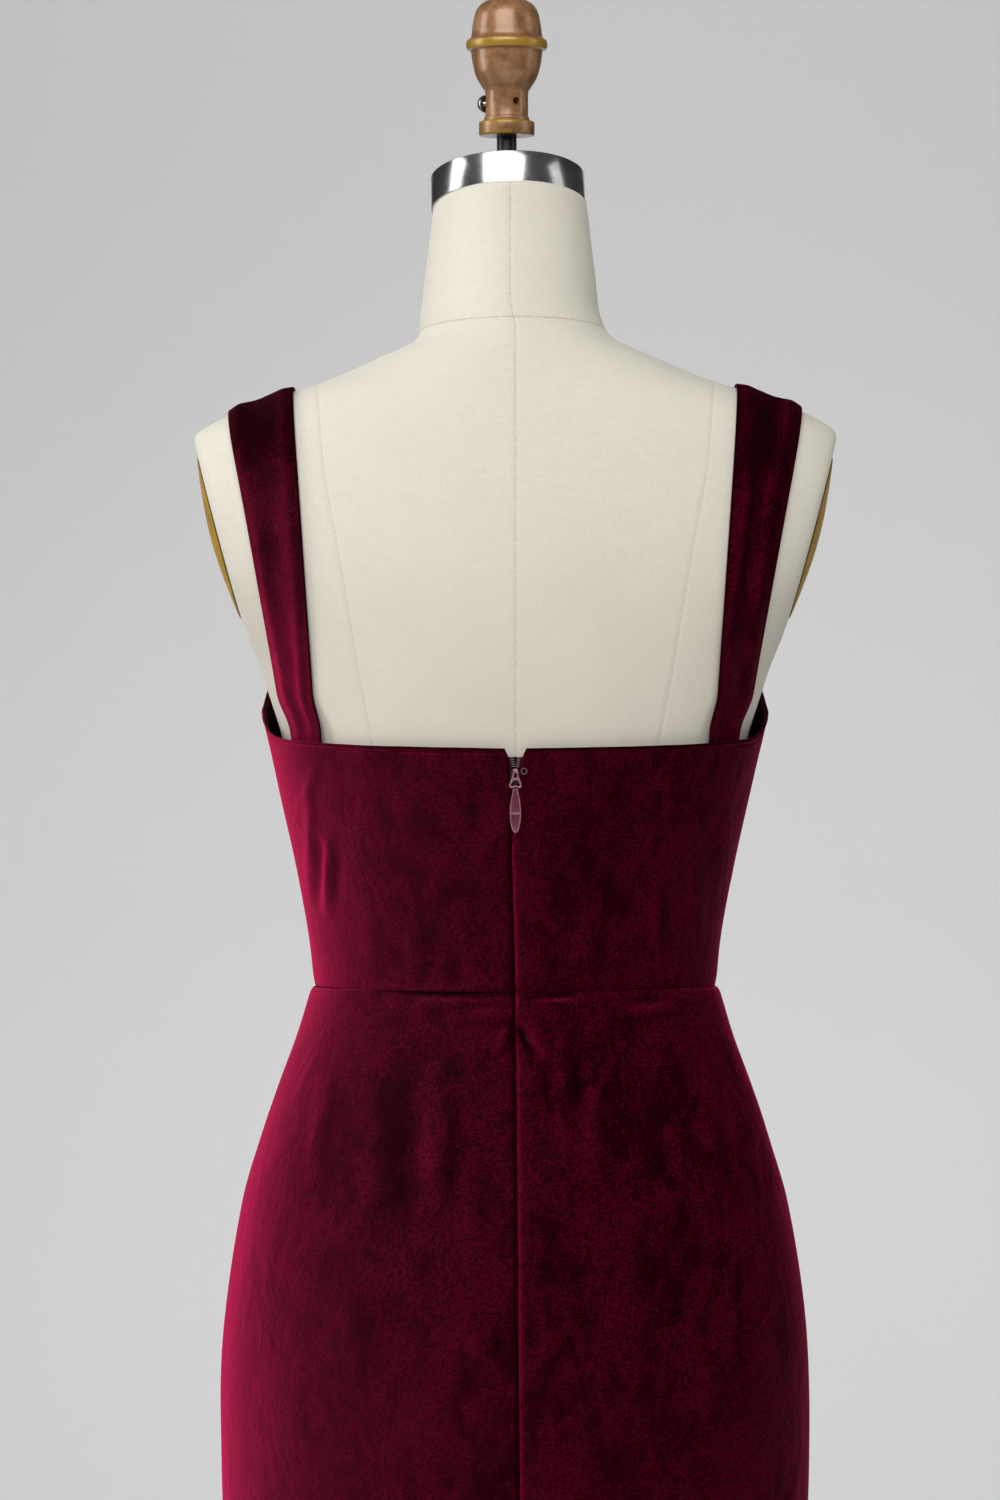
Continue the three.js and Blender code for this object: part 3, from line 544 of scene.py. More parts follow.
def run_along(points, axis):
    """How far each point lies from the start of its line, along the cloth."""
    step = np.linalg.norm(np.diff(points, axis=axis), axis=-1)
    start = np.zeros_like(np.take(points[..., 0], [0], axis=axis))
    return np.concatenate([start, np.cumsum(step, axis=axis)], axis=axis)


FOLD_WIDTH = 0.85


def folds_at(x, z, folds):
    """The height of all the folds at a place. A row has a fold's two ends, its half-width and its height."""
    total = np.zeros(np.broadcast(x, z).shape)
    for x0, z0, x1, z1, width, height in folds:
        width = width * FOLD_WIDTH
        long = math.hypot(x1 - x0, z1 - z0)
        way = ((x - x0) * (x1 - x0) + (z - z0) * (z1 - z0)) / long**2
        aside = ((x - x0) * (z1 - z0) - (z - z0) * (x1 - x0)) / long
        fade = np.sin(np.pi * np.clip(way, 0, 1)) ** 0.8
        total += height * fade * bell(aside, width)
    return total


def quads(a, b, c, d):
    """Four-cornered faces from four arrays of corners."""
    return np.stack([a.ravel(), b.ravel(), c.ravel(), d.ravel()], axis=-1)


def wall_object(name, outer, inner, flat_map, materials):
    """A closed sheet between two grids, with its flat map. Its inner face has the second material."""
    rows, columns = outer.shape[:2]
    o = np.arange(rows * columns).reshape(rows, columns)
    n = o + rows * columns
    outside = quads(o[:-1, :-1], o[:-1, 1:], o[1:, 1:], o[1:, :-1])
    inside = quads(n[:-1, :-1], n[1:, :-1], n[1:, 1:], n[:-1, 1:])
    edges = [
        quads(o[:-1, 0], o[1:, 0], n[1:, 0], n[:-1, 0]),
        quads(o[:-1, -1], n[:-1, -1], n[1:, -1], o[1:, -1]),
        quads(o[0, :-1], n[0, :-1], n[0, 1:], o[0, 1:]),
        quads(o[-1, :-1], o[-1, 1:], n[-1, 1:], n[-1, :-1]),
    ]
    faces = np.concatenate([outside, *edges, inside])
    mesh = bpy.data.meshes.new(name)
    mesh.from_pydata(np.concatenate([outer, inner]).reshape(-1, 3) * MM, [], faces.tolist())
    for material in materials:
        mesh.materials.append(material)
    kinds = np.zeros(len(faces), dtype=np.int32)
    kinds[-len(inside):] = 1
    mesh.polygons.foreach_set("material_index", kinds)
    corners = np.empty(len(mesh.loops), dtype=np.int32)
    mesh.loops.foreach_get("vertex_index", corners)
    both = np.concatenate([flat_map.reshape(-1, 2)] * 2) * MM
    mesh.uv_layers.new(name="flat").data.foreach_set("uv", both[corners].ravel())
    mesh.shade_smooth()
    made = bpy.data.objects.new(name, mesh)
    scene.collection.objects.link(made)
    return made


SEAM_SHADE = 1.1  # how far from an edge the painted shade reaches
TO_LIGHT = (0.85, 0, 0.5)  # the side from which a fold's slopes are painted lighter


def painted_fold_light(points, lift):
    """How far a fold's slope faces the light, for painted light and shade on the folds: positive is painted
    brighter.
    """
    light_slope = np.zeros_like(lift)
    for axis in (0, 1):
        step = np.gradient(points, axis=axis)
        long = np.maximum(np.linalg.norm(step, axis=-1), 0.05)
        light_slope -= np.gradient(lift, axis=axis) / long * (step @ np.array(TO_LIGHT)) / long
    return light_slope


def cloth_panel(name, points, lift, roll=1.0, thickness=CLOTH, materials=None, shade=0.0):
    """A panel of cloth under a surface, raised by its folds and rolled off at its edges."""
    normal = outward(points)
    across, up = run_along(points, 1), run_along(points, 0)
    nearest = np.minimum.reduce([across, across[:, -1:] - across, up, up[-1:] - up])
    full = np.sqrt(1 - (1 - np.clip(nearest / roll, 0, 1)) ** 2)
    half = thickness / 2 * np.maximum(full, THIN_EDGE)[..., None]
    middle = points + normal * (lift - thickness / 2)[..., None]
    flat_map = np.stack([across, up], axis=-1)
    both_sides = middle + normal * half, middle - normal * half
    made = wall_object(name, *both_sides, flat_map, materials or (velvet, lining))
    # Two values go to the velvet: painted shade near edges and seams, and how far each fold's slope faces
    # the light, for painted light and shade.
    shade = np.maximum(bell(nearest, SEAM_SHADE), shade)
    for carried, values in (("seam_shade", shade), ("painted_fold_light", painted_fold_light(points, lift))):
        carrier = made.data.attributes.new(carried, "FLOAT", "POINT").data
        carrier.foreach_set("value", np.tile(values.ravel(), 2))
    cell = np.linalg.norm(np.cross(np.diff(points[:-1], axis=1), np.diff(points[:, :-1], axis=0)), axis=-1)
    size = (across.max() * MM, up.max() * MM)
    area = min(cell.sum() * MM * MM, size[0] * size[1])
    print(f"{name}: {size[0]:.3f} x {size[1]:.3f} m, {area:.3f} m2, faces {len(made.data.polygons)}")
    return made, size, area


def hang(made):
    """Says which body a sheet of cloth rides on: the root."""
    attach(made, "root")


# %% [markdown]
# ## The bodice
#
# Two back panels and one front panel. The back panels part in a small notch over the zip's slider, and the
# centre seam wanders a few millimetres from the middle, as a hand-set zip does. The neckline is turned
# under and stitched, which leaves a shallow line three millimetres below the edge. Beside the zip the left
# panel stands a little over the waist seam and shades it.

# %% Where the centre back seam runs
seam_line = np.array([
    [12, 0], [480, -2], [776, -3], [898, -1.8], [1020, -0.9], [1105, 0], [1172, 2], [1212, 0],
])
notch_width = np.array([
    [1207, -0.1], [1209.5, 0.2], [1211.2, 2.2], [1213.5, 3.7], [1229, 4.2], [1234, 6.4],
])
SIDE_LAP = math.degrees(SEAM_LAP / 100)


def seam_x(z):
    """How far the centre back seam lies from the middle."""
    return np.interp(z, seam_line[:, 0], seam_line[:, 1])


def seam_edge(z, side):
    """The edge of the panel on one side of the seam: 1 is the wearer's left."""
    return seam_x(z) + side * np.interp(z, notch_width[:, 0], notch_width[:, 1])


def back_turns(rows, turn_shares, z, side):
    """The turns of a back panel's points, from its side seam to the centre back."""
    middle = turn_at(rows, seam_edge(z, side), z)
    ends = (-SIDE_LAP, middle) if side > 0 else (middle, 180 + SIDE_LAP)
    return ends[0] * (1 - turn_shares) + ends[1] * turn_shares


def seam_dip(away, deep=0.6, width=3.0):
    """How a panel sinks towards a seam, slowly and then sharply."""
    return -deep * (0.6 * bell(away, width) + 0.8 * bell(away, 1.1))


# %% Bodice back panels
bodice_folds = [
    # x0, z0, x1, z1, half-width, height
    (119, 1136, 116, 1182, 3.2, -1.5),
    (113, 1132, 111, 1186, 3.4, 2.1),
    (124, 1140, 122, 1216, 3.4, 1.6),
    (106, 1138, 104, 1174, 3.0, -0.8),
    (128, 1196, 118, 1226, 4.5, 1.2),
    (60, 1092, 56, 1128, 7.0, 1.0),
    (32, 1090, 36, 1120, 6.0, -0.8),
    (90, 1094, 84, 1140, 8.0, 0.9),
    (70, 1210, 46, 1172, 10.0, 0.9),
    (4, 1196, 26, 1160, 7.0, 0.7),
    (-86, 1112, -84, 1156, 4.6, 1.9),
    (-94, 1114, -93, 1150, 4.0, -1.0),
    (-111, 1106, -108, 1160, 4.6, 1.4),
    (-119, 1120, -117, 1176, 3.6, -0.9),
    (-126, 1150, -128, 1214, 5.0, 1.3),
    (-40, 1092, -46, 1136, 8.0, 0.9),
    (-60, 1196, -82, 1160, 9.0, 0.8),
    (-6, 1192, -24, 1168, 6.0, 0.7),
    (-120, 1226, -134, 1204, 4.0, 1.2),
    (-8, 1150, -40, 1118, 9.0, 0.6),
]
NECK_LINE = 3.2  # stitched line under the neckline


def ease(x, z, height=0.45):
    """Slow unevenness of hung cloth."""
    slow = np.sin(x / 17 + 1.3 * np.sin(z / 39)) * np.sin(z / 33 + 0.8 + x / 61)
    slower = np.sin(x / 41 - z / 57 + 2.1)
    return height * (0.6 * slow + 0.4 * slower)


def bodice_lift(points, back_side=0):
    """All that raises and sinks a bodice panel. back_side is 1 or -1 on a back panel and 0 on the front."""
    across, up = run_along(points, 1), run_along(points, 0)
    x, z = points[..., 0], points[..., 2]
    from_first, from_last, from_top = across, across[:, -1:] - across, up[-1:] - up
    lift = ease(x, z) + folds_at(x, z, bodice_folds) * (points[..., 1] > 0)
    lift *= np.clip(from_top / 14, 0, 1)
    lift += 0.35 * bell(from_top - 1.2, 1.4) - 0.5 * bell(from_top - NECK_LINE, 0.9)
    lift += 0.35 * np.sin(x / 6.1 + 0.5 * np.sin(x / 3.7)) * bell(from_top, 9)
    overhang = bell(x - 45, 36) if back_side > 0 else np.zeros_like(x)
    lift += (1.5 * overhang - 0.6 * (1 - overhang)) * bell(up, 4.5)
    seam = from_last if back_side > 0 else from_first
    if back_side:
        closed = np.clip((1212 - z) / 3, 0, 1)
        lift += seam_dip(from_first if back_side > 0 else from_last) + seam_dip(seam, 0.9, 2.4) * closed
    else:
        lift += seam_dip(from_first) + seam_dip(from_last)
    return lift


def edge_shade(points):
    """The painted shade of a dark band under the neckline, where the cloth turns over to the inside."""
    up = run_along(points, 0)
    return np.exp(-(((up[-1:] - up) / 2.4) ** 4))


def bodice_back(name, side):
    """One back panel of the bodice."""
    turn_shares = shares(110)[None, :]
    rise = shares(104)[:, None]
    nominal = 90 * turn_shares if side > 0 else 90 + 90 * turn_shares
    z = (WAIST - SEAM_LAP) * (1 - rise) + top_height(nominal) * rise
    turn = back_turns(bodice_sections, turn_shares, z, side)
    points = figure_point(bodice_sections, turn, z)
    made, size, area = cloth_panel(name, points, bodice_lift(points, side), shade=edge_shade(points))
    hang(made)
    return made


for name, side in (("velvet_bodice_back_left", 1), ("velvet_bodice_back_right", -1)):
    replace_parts(bodice_back(name, side), name.removeprefix("velvet_"))


# %% Bodice front panel
front_folds = [
    (84, 1200, 52, 1128, 9.0, 1.2), (-84, 1198, -58, 1124, 9.0, 1.3), (30, 1252, -26, 1256, 7.0, 1.1),
    (22, 1236, -20, 1240, 6.0, -0.8), (108, 1140, 104, 1190, 4.5, 1.2), (-112, 1136, -106, 1184, 4.5, 1.2),
    (40, 1094, 44, 1126, 7.0, 0.9), (-34, 1092, -30, 1130, 7.5, 0.9), (4, 1180, -6, 1120, 9.0, 0.7),
]


def bodice_front():
    """The front panel, shaped over the bust, with its two dart seams as shallow lines."""
    turn_shares = shares(200)[None, :]
    rise = shares(108)[:, None]
    turn = 180 - SIDE_LAP + (180 + 2 * SIDE_LAP) * turn_shares
    z = (WAIST - SEAM_LAP) * (1 - rise) + top_height(turn) * rise
    points = figure_point(bodice_sections, turn, z)
    x, z = points[..., 0], points[..., 2]
    lift = bodice_lift(points) + folds_at(x, z, front_folds) * (points[..., 1] < 0)
    for dart in (74, -74):
        line = dart * (1 + (z - 1180) / 620)
        lift -= 0.7 * bell(x - line, 1.6) * np.clip((1236 - z) / 30, 0, 1) * (points[..., 1] < 0)
    made, size, area = cloth_panel("velvet_bodice_front", points, lift, shade=edge_shade(points))
    hang(made)
    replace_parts(made, "bodice_front")


bodice_front()

# %% [markdown]
# ## The skirt
#
# Three panels hang from the waist seam. They are tight over the hips, so the folds that show are small: a
# few vertical ripples beside the zip, a broad trough on the left, a pucker under the waist seam, and short
# puckers at the zip's end. From the knee down the cloth is cut in godets, which stand out as flutes.

# %% Skirt panels
skirt_folds = [
    (84, 1089, -2, 1086, 3.4, -2.2), (80, 1080, 30, 1078, 5.0, 1.1), (-6, 1086, -40, 1087, 2.8, -1.6),
    (1, 1074, -16, 1050, 3.6, -3.0), (-4, 1080, -22, 1060, 4.4, 1.4), (3, 1072, 10, 1052, 4.5, 1.1),
    (-26, 1070, -33, 1024, 5.5, 1.2), (-43, 1060, -37, 998, 6.5, -0.9), (-17, 1052, -23, 1012, 4.6, -0.8),
    (-54, 1052, -47, 974, 8.0, 0.9), (61, 1050, 62, 944, 10.0, -1.9), (42, 1048, 44, 960, 9.0, 1.5),
    (80, 1040, 84, 950, 9.0, 1.4), (36, 1082, 1, 1080, 3.2, -1.3), (40, 1075, 2, 1072, 4.0, 1.3),
    (96, 1084, 56, 1080, 3.6, -0.9), (-58, 1082, -96, 1084, 3.8, -0.9), (-64, 1075, -100, 1078, 4.5, 0.9),
    (-1, 866, 34, 896, 6.5, 1.6), (-1, 856, 32, 866, 5.0, -1.3), (-2, 846, 30, 842, 6.5, 1.3),
    (-4, 862, -30, 886, 6.0, 1.1), (-4, 852, -32, 850, 6.0, -0.9), (112, 1040, 120, 980, 7.0, 1.2),
    (-112, 1042, -120, 976, 7.0, 1.3), (-84, 1036, -90, 968, 8.0, -1.2), (22, 1000, 26, 920, 9.0, 0.9),
    (-66, 960, -60, 880, 12.0, 1.0), (100, 930, 92, 850, 12.0, 1.0), (-110, 900, -118, 820, 12.0, 1.1),
    (130, 870, 136, 800, 10.0, 0.9), (10, 800, 60, 700, 16.0, 1.6), (-20, 780, -80, 660, 16.0, 1.7),
    (40, 640, 70, 540, 14.0, 1.8), (-30, 620, -60, 500, 14.0, 1.9), (100, 660, 112, 520, 12.0, 1.8),
    (-110, 640, -116, 520, 12.0, 1.7), (10, 560, 14, 470, 12.0, 1.5),
]
skirt_front_folds = [
    (36, 1082, -10, 1080, 3.6, -1.2), (-50, 1082, -92, 1083, 3.8, -1.0), (60, 1046, 66, 960, 9.0, 1.4),
    (-56, 1048, -60, 950, 9.0, 1.4), (8, 1050, 12, 980, 8.0, 1.0), (100, 1040, 112, 960, 8.0, 1.2),
    (-104, 1036, -114, 970, 8.0, -1.2), (30, 800, 74, 690, 16.0, 1.6), (-30, 790, -80, 680, 16.0, 1.6),
    (60, 640, 84, 520, 13.0, 1.8), (-50, 640, -76, 520, 13.0, 1.8), (0, 620, 4, 480, 13.0, 1.5),
]
SKIRT_TOP = WAIST + SEAM_LAP
LOW_ROWS, HIGH_ROWS, VIEW_FOOT = 76, 150, 776  # rows lie closer together above the thigh


def skirt_heights():
    """The heights of the skirt's rows, close together at the hem, the waist and over the hips."""
    low = HEM + (VIEW_FOOT - HEM) * shares(2 * LOW_ROWS)[: LOW_ROWS + 1] * 2
    high = VIEW_FOOT + (SKIRT_TOP - VIEW_FOOT) * (2 * shares(2 * HIGH_ROWS)[HIGH_ROWS:] - 1)
    return np.concatenate([low[:-1], high])[:, None]


def skirt_lift(points, folds, seams):
    """All that raises and sinks a skirt panel. seams has the seam's depth at its first and last column."""
    across, up = run_along(points, 1), run_along(points, 0)
    x, z = points[..., 0], points[..., 2]
    lift = ease(x, z, 0.6) + folds_at(x, z, folds)
    lift += seam_dip(up[-1:] - up, 1.0, 3.0)
    lift += seam_dip(across, seams[0], 2.4) + seam_dip(across[:, -1:] - across, seams[1], 2.4)
    stitched = 0.35 * bell(up - 24, 1.2)  # the hem's line of stitches
    return lift - stitched


def waist_shade(points):
    """The shade under the bodice's edge, deepest on the wearer's left, where the bodice stands over it."""
    up = run_along(points, 0)
    deep = 2.2 + 2.4 * bell(points[..., 0] - 38, 34)
    return 0.96 * bell(up[-1:] - up, deep)


def skirt_back(name, side):
    """One back panel of the skirt."""
    turn_shares = shares(116)[None, :]
    z = skirt_heights()
    turn = back_turns(skirt_sections, turn_shares, z, side)
    points = skirt_point(turn, z)
    lift = skirt_lift(points, skirt_folds, (0.9, 0.6) if side < 0 else (0.6, 0.9))
    made, size, area = cloth_panel(name, points, lift, shade=waist_shade(points))
    hang(made)
    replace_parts(made, name.removeprefix("velvet_"))


def skirt_front():
    """The front panel of the skirt."""
    turn = 180 - SIDE_LAP + (180 + 2 * SIDE_LAP) * shares(204)[None, :]
    points = skirt_point(turn, skirt_heights())
    lift = skirt_lift(points, skirt_front_folds, (0.6, 0.6))
    made, size, area = cloth_panel("velvet_skirt_front", points, lift, shade=waist_shade(points))
    hang(made)
    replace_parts(made, "skirt_front")


skirt_back("velvet_skirt_back_left", 1)
skirt_back("velvet_skirt_back_right", -1)
skirt_front()

# %% [markdown]
# ## The straps
#
# Each strap is a wide band that runs from inside the back neckline, over the shoulder, to inside the front
# neckline. It narrows downwards on the back. It lies in two soft lengthwise folds that wander, one near each
# edge.

# %% Where a strap lies
STRAP = {"tuck_back": 1222, "tuck_front": 1292, "lift": 1.15, "ridge": 0.6}
STRAP_EDGE = {"back": 1243, "front": 1311, "blend": 25}
strap_inner = {"back": 117, "shoulder": 133, "front": 97}
strap_outer = {"back": 135, "shoulder": 173, "front": 129}


def shoulder_height(x):
    """The height of the shoulder line at a distance from the middle."""
    heights = np.linspace(1422, 1483, 400)
    widths = smooth_column(form_sections, HALF_WIDTH, heights)
    return np.interp(-x, -widths, heights)


def strap_bed(x, z, side):
    """What a strap lies on: the form, or the bodice's inside where it is tucked in."""
    on_form = figure_point(form_sections, side * turn_at(form_sections, x, z), z)
    turn = side * turn_at(bodice_sections, x, z)
    face = figure_point(bodice_sections, turn, z)
    step = 0.5
    along = figure_point(bodice_sections, turn + step, z) - figure_point(bodice_sections, turn - step, z)
    up = figure_point(bodice_sections, turn, z + step) - figure_point(bodice_sections, turn, z - step)
    out = np.cross(along, up)
    out /= np.linalg.norm(out, axis=-1, keepdims=True)
    deep = 2 * CLOTH + 0.5 + STRAP["ridge"] + STRAP["lift"]
    edge = np.where(side > 0, STRAP_EDGE["back"], STRAP_EDGE["front"])
    free = np.clip((z - edge) / STRAP_EDGE["blend"], 0, 1)
    free = (free * free * (3 - 2 * free))[..., None]
    return on_form * free + (face - out * deep) * (1 - free)


def strap_line(share, steps):
    """One lengthwise line of a strap, at a share of its width, with evenly spaced points."""
    ends = {end: strap_outer[end] * (1 - share) + strap_inner[end] * share for end in strap_outer}
    way = np.linspace(1, -1, 361)
    rise = np.cos(way * np.pi / 2)
    side = np.where(way >= 0, 1, -1)
    bottom = np.where(way > 0, STRAP["tuck_back"], STRAP["tuck_front"])
    foot = np.where(way > 0, ends["back"], ends["front"])
    x = foot + (ends["shoulder"] - foot) * np.clip(rise, 0, 1) ** 1.15
    line = strap_bed(x, bottom + (shoulder_height(ends["shoulder"]) - bottom) * rise, side)
    run = run_along(line[None], 1)[0]
    even = np.linspace(0, run[-1], steps + 1)
    return np.stack([np.interp(even, run, line[:, axis]) for axis in range(3)], axis=-1)


# %% Straps
STRAP_STEPS = 250


def strap_folds(across, along, side):
    """Lengthwise folds of a strap, by the share of its width and of its length."""
    wander = 0.06 * np.sin(along * 9 + side) + 0.03 * np.sin(along * 23)
    lift = 1.2 * bell(across - 0.2 - wander, 0.11)
    lift += bell(across - 0.78 + wander, 0.12) - 0.6 * bell(across - 0.5 - wander, 0.12)
    lift += 0.25 * np.sin(along * 61 + 3 * across) * np.sin(across * np.pi)
    ends = np.clip(np.minimum(along, 1 - along) / 0.09, 0, 1)
    return lift * ends


def strap(name, side):
    """One strap. Its lines run along it, ordered so that its grid faces outwards."""
    widths = shares(28)
    grid = np.stack([strap_line(share, STRAP_STEPS) for share in widths])
    grid[..., 0] *= side
    if side > 0:
        grid, widths = grid[::-1], widths[::-1]
    along = np.linspace(0, 1, STRAP_STEPS + 1)[None, :]
    lift = STRAP["lift"] + CLOTH + strap_folds(widths[:, None], along, side)
    # Painted shade: a dark band down the middle of the strap on the back, in the trough between its two
    # folds.
    middle = np.exp(-((np.abs(widths[:, None] - 0.52) / 0.2) ** 4)) * gentle(grid[..., 2], 1350, 1400)
    shade = middle * (0.72 + 0.25 * np.sin(along * 47))
    shade = shade * (grid[..., 1] > 0)
    made, size, area = cloth_panel(name, askew(grid, grid[..., 2]), lift, roll=1.3, shade=shade)
    hang(made)
    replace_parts(made, name.removeprefix("velvet_"))


strap("velvet_strap_left", 1)
strap("velvet_strap_right", -1)

# %% [markdown]
# ## The zip
#
# An invisible zip shows only its slider, its pull and a few coils in the notch; below them the seam closes
# over it. The tape is a woven strip behind the seam. The slider's bail is a flat frame with two windows,
# and the pull is a leaf with a raised rim that hangs by its eye from the bail's bar. Small flat parts like
# these are drawn as an outline, given their thickness, and softened with a bevel.

# %% Zip tape
ZIP = {"half": 12, "thick": 0.8, "behind": 0.75, "top": 1229, "bottom": 800}


def zip_tape():
    """The tape, behind the two back panels, from the notch to the zip's end."""
    x = ZIP["half"] * (1 - 2 * shares(24))[None, :]
    z = ZIP["bottom"] + (ZIP["top"] - ZIP["bottom"]) * shares(190)[:, None]
    on_bodice = figure_point(bodice_sections, turn_at(bodice_sections, x, z), z)[..., 1]
    on_skirt = figure_point(skirt_sections, turn_at(skirt_sections, x, z), z)[..., 1]
    y = np.where(z >= WAIST, on_bodice, on_skirt) - CLOTH - ZIP["behind"]
    grid = np.stack(np.broadcast_arrays(x, y, z), axis=-1)
    weave = (zip_tape_weave, zip_tape_weave)
    made, size, area = cloth_panel("zip_tape_weave", grid, np.zeros_like(y), 0.4, ZIP["thick"], weave)
    hang(made)
    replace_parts(made, "zip_tape")


zip_tape()


# %% Metal and thread finishes
def make_metal(name, dark, light, rough, scale, bump=0.00005, metal=1.0, coat=0.0):
    """Metal or painted metal with a little unevenness in colour, gloss and surface."""
    made = new_material(name, Metallic=metal, Coat_Weight=coat, Coat_Roughness=0.12)
    here = object_place(made)
    worn = noise(made, here, scale, 4, 0.6)
    colour = blend(made, between(made, worn, 0.3, 0.7), dark, light)
    gloss = between(made, noise(made, here, scale * 3, 3), 0.3, 0.7, rough * 0.8, rough * 1.25)
    paint(made, colour, relief(made, worn, bump, 0.6), gloss)
    return made


zip_enamel = make_metal(
    "zip_enamel", (0.08, 0.008, 0.018, 1), (0.17, 0.025, 0.045, 1), 0.34, 900, 0.00003, 0.3, 0.4,
)
zip_rim = make_metal("zip_rim", (0.3, 0.12, 0.14, 1), (0.5, 0.26, 0.27, 1), 0.26, 900, 0.00003, 0.5, 0.4)
zip_dark = make_metal("zip_dark", (0.012, 0.003, 0.005, 1), (0.04, 0.01, 0.016, 1), 0.4, 900, 0.00003, 0.2)
coil_nylon = make_metal("coil_nylon", (0.05, 0.02, 0.024, 1), (0.16, 0.1, 0.09, 1), 0.4, 1500, 0.00002, 0.0)
sewing_thread = make_metal(
    "sewing_thread", (0.05, 0.03, 0.035, 1), (0.16, 0.09, 0.1, 1), 0.7, 2500, 0.00005, 0.0,
)


# %% Helpers for shaped parts
def start_piece(name):
    """One vertex at the origin, in edit mode, from which a profile or an outline is drawn."""
    bpy.ops.object.select_all(action="DESELECT")
    bpy.ops.mesh.primitive_plane_add(size=MM)
    made = bpy.context.object
    made.name = made.data.name = name
    bpy.ops.object.mode_set(mode="EDIT")
    bpy.ops.mesh.select_mode(type="VERT")
    bpy.ops.mesh.select_all(action="SELECT")
    bpy.ops.mesh.merge(type="CENTER")
    return made


def draw_line(points):
    """Draws on from the vertex at the origin through points in millimetres."""
    bpy.ops.transform.translate(value=[c * MM for c in points[0]])
    for before, after in zip(points, points[1:]):
        step = [(b - a) * MM for a, b in zip(before, after)]
        bpy.ops.mesh.extrude_vertices_move(TRANSFORM_OT_translate={"value": step})


def edit_done(made, place=(0, 0, 0), turn=(0, 0, 0), size=(1, 1, 1), materials=()):
    """Leaves edit mode and moves the piece to its place in millimetres, its object left at the origin."""
    bpy.ops.object.mode_set(mode="OBJECT")
    made.location = [c * MM for c in place]
    made.rotation_euler = turn
    made.scale = size
    bpy.ops.object.transform_apply(location=True, rotation=True, scale=True)
    for material in materials:
        made.data.materials.append(material)
    return made


def turned(name, profile, place=(0, 0, 0), turn=(0, 0, 0), size=(1, 1, 1), steps=96, materials=()):
    """A turned piece. The profile is a line of radii and heights."""
    made = start_piece(name)
    draw_line([(radius, 0, height) for radius, height in profile])
    bpy.ops.mesh.select_all(action="SELECT")
    bpy.ops.mesh.spin(steps=steps, angle=2 * math.pi, center=(0, 0, 0), axis=(0, 0, 1))
    bpy.ops.mesh.select_all(action="SELECT")
    bpy.ops.mesh.remove_doubles(threshold=0.01 * MM)
    bpy.ops.mesh.normals_make_consistent(inside=False)
    return edit_done(made, place, turn, size, materials)


def outlined(name, half, thick, materials=(), place=(0, 0, 0), turn=(0, 0, 0)):
    """A flat part from one half of its outline in X and Z, mirrored in X, and its thickness along Y."""
    made = start_piece(name)
    full = [(x, thick / 2, z) for x, z in half] + [(-x, thick / 2, z) for x, z in reversed(half)]
    draw_line(full)
    bpy.ops.mesh.select_all(action="SELECT")
    bpy.ops.mesh.edge_face_add()
    bpy.ops.mesh.extrude_region_move(TRANSFORM_OT_translate={"value": (0, -thick * MM, 0)})
    bpy.ops.mesh.select_all(action="SELECT")
    bpy.ops.mesh.remove_doubles(threshold=0.005 * MM)
    bpy.ops.mesh.normals_make_consistent(inside=False)
    return edit_done(made, place, turn, materials=materials)


def apply_all(made):
    """Applies every modifier of a piece."""
    bpy.context.view_layer.objects.active = made
    for modifier in list(made.modifiers):
        bpy.ops.object.modifier_apply(modifier=modifier.name)


def soften(made, width, steps=3, angle=25):
    """Rounds a part's sharp edges and shades it smooth."""
    bevel = made.modifiers.new("rounded_edges", "BEVEL")
    bevel.width, bevel.segments = width * MM, steps
    bevel.limit_method, bevel.angle_limit = "ANGLE", math.radians(angle)
    apply_all(made)
    bpy.ops.object.select_all(action="DESELECT")
    made.select_set(True)
    bpy.ops.object.shade_smooth_by_angle(angle=math.radians(35))
    return made


def cut_out(made, cutter):
    """Takes one part's shape out of another."""
    tool = made.modifiers.new("cut", "BOOLEAN")
    tool.object, tool.operation, tool.solver = cutter, "DIFFERENCE", "EXACT"
    apply_all(made)
    bpy.data.objects.remove(cutter)
    return made


def joined(first, *others):
    """Joins parts that are made as one."""
    bpy.ops.object.select_all(action="DESELECT")
    for piece in (first, *others):
        piece.select_set(True)
    bpy.context.view_layer.objects.active = first
    bpy.ops.object.join()
    return first


def hand_in(made, slot, *nodes, body="root"):
    """Says which body a piece rides on and the nodes that it stands for. Its finish, slot, is not used."""
    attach(made, body)
    if nodes:
        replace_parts(made, *nodes)
    print(f"{made.name}: {len(made.data.polygons)} faces")
    return made


# %% Slider and its bail
SLIDER = {"width": 5.6, "thick": 2.2, "top": 1222.5, "bottom": 1212.8, "proud": 0.5, "lean": 0.145}
PULL = {"hinge_z": 1211.2, "out": 2.3, "bar": 0.45, "eye_inside": 0.8, "eye_outside": 1.45, "eye_half": 1.5}
cloth_y = figure_point(bodice_sections, 90, PULL["hinge_z"])[1]
hinge = (0, cloth_y + PULL["out"], PULL["hinge_z"])


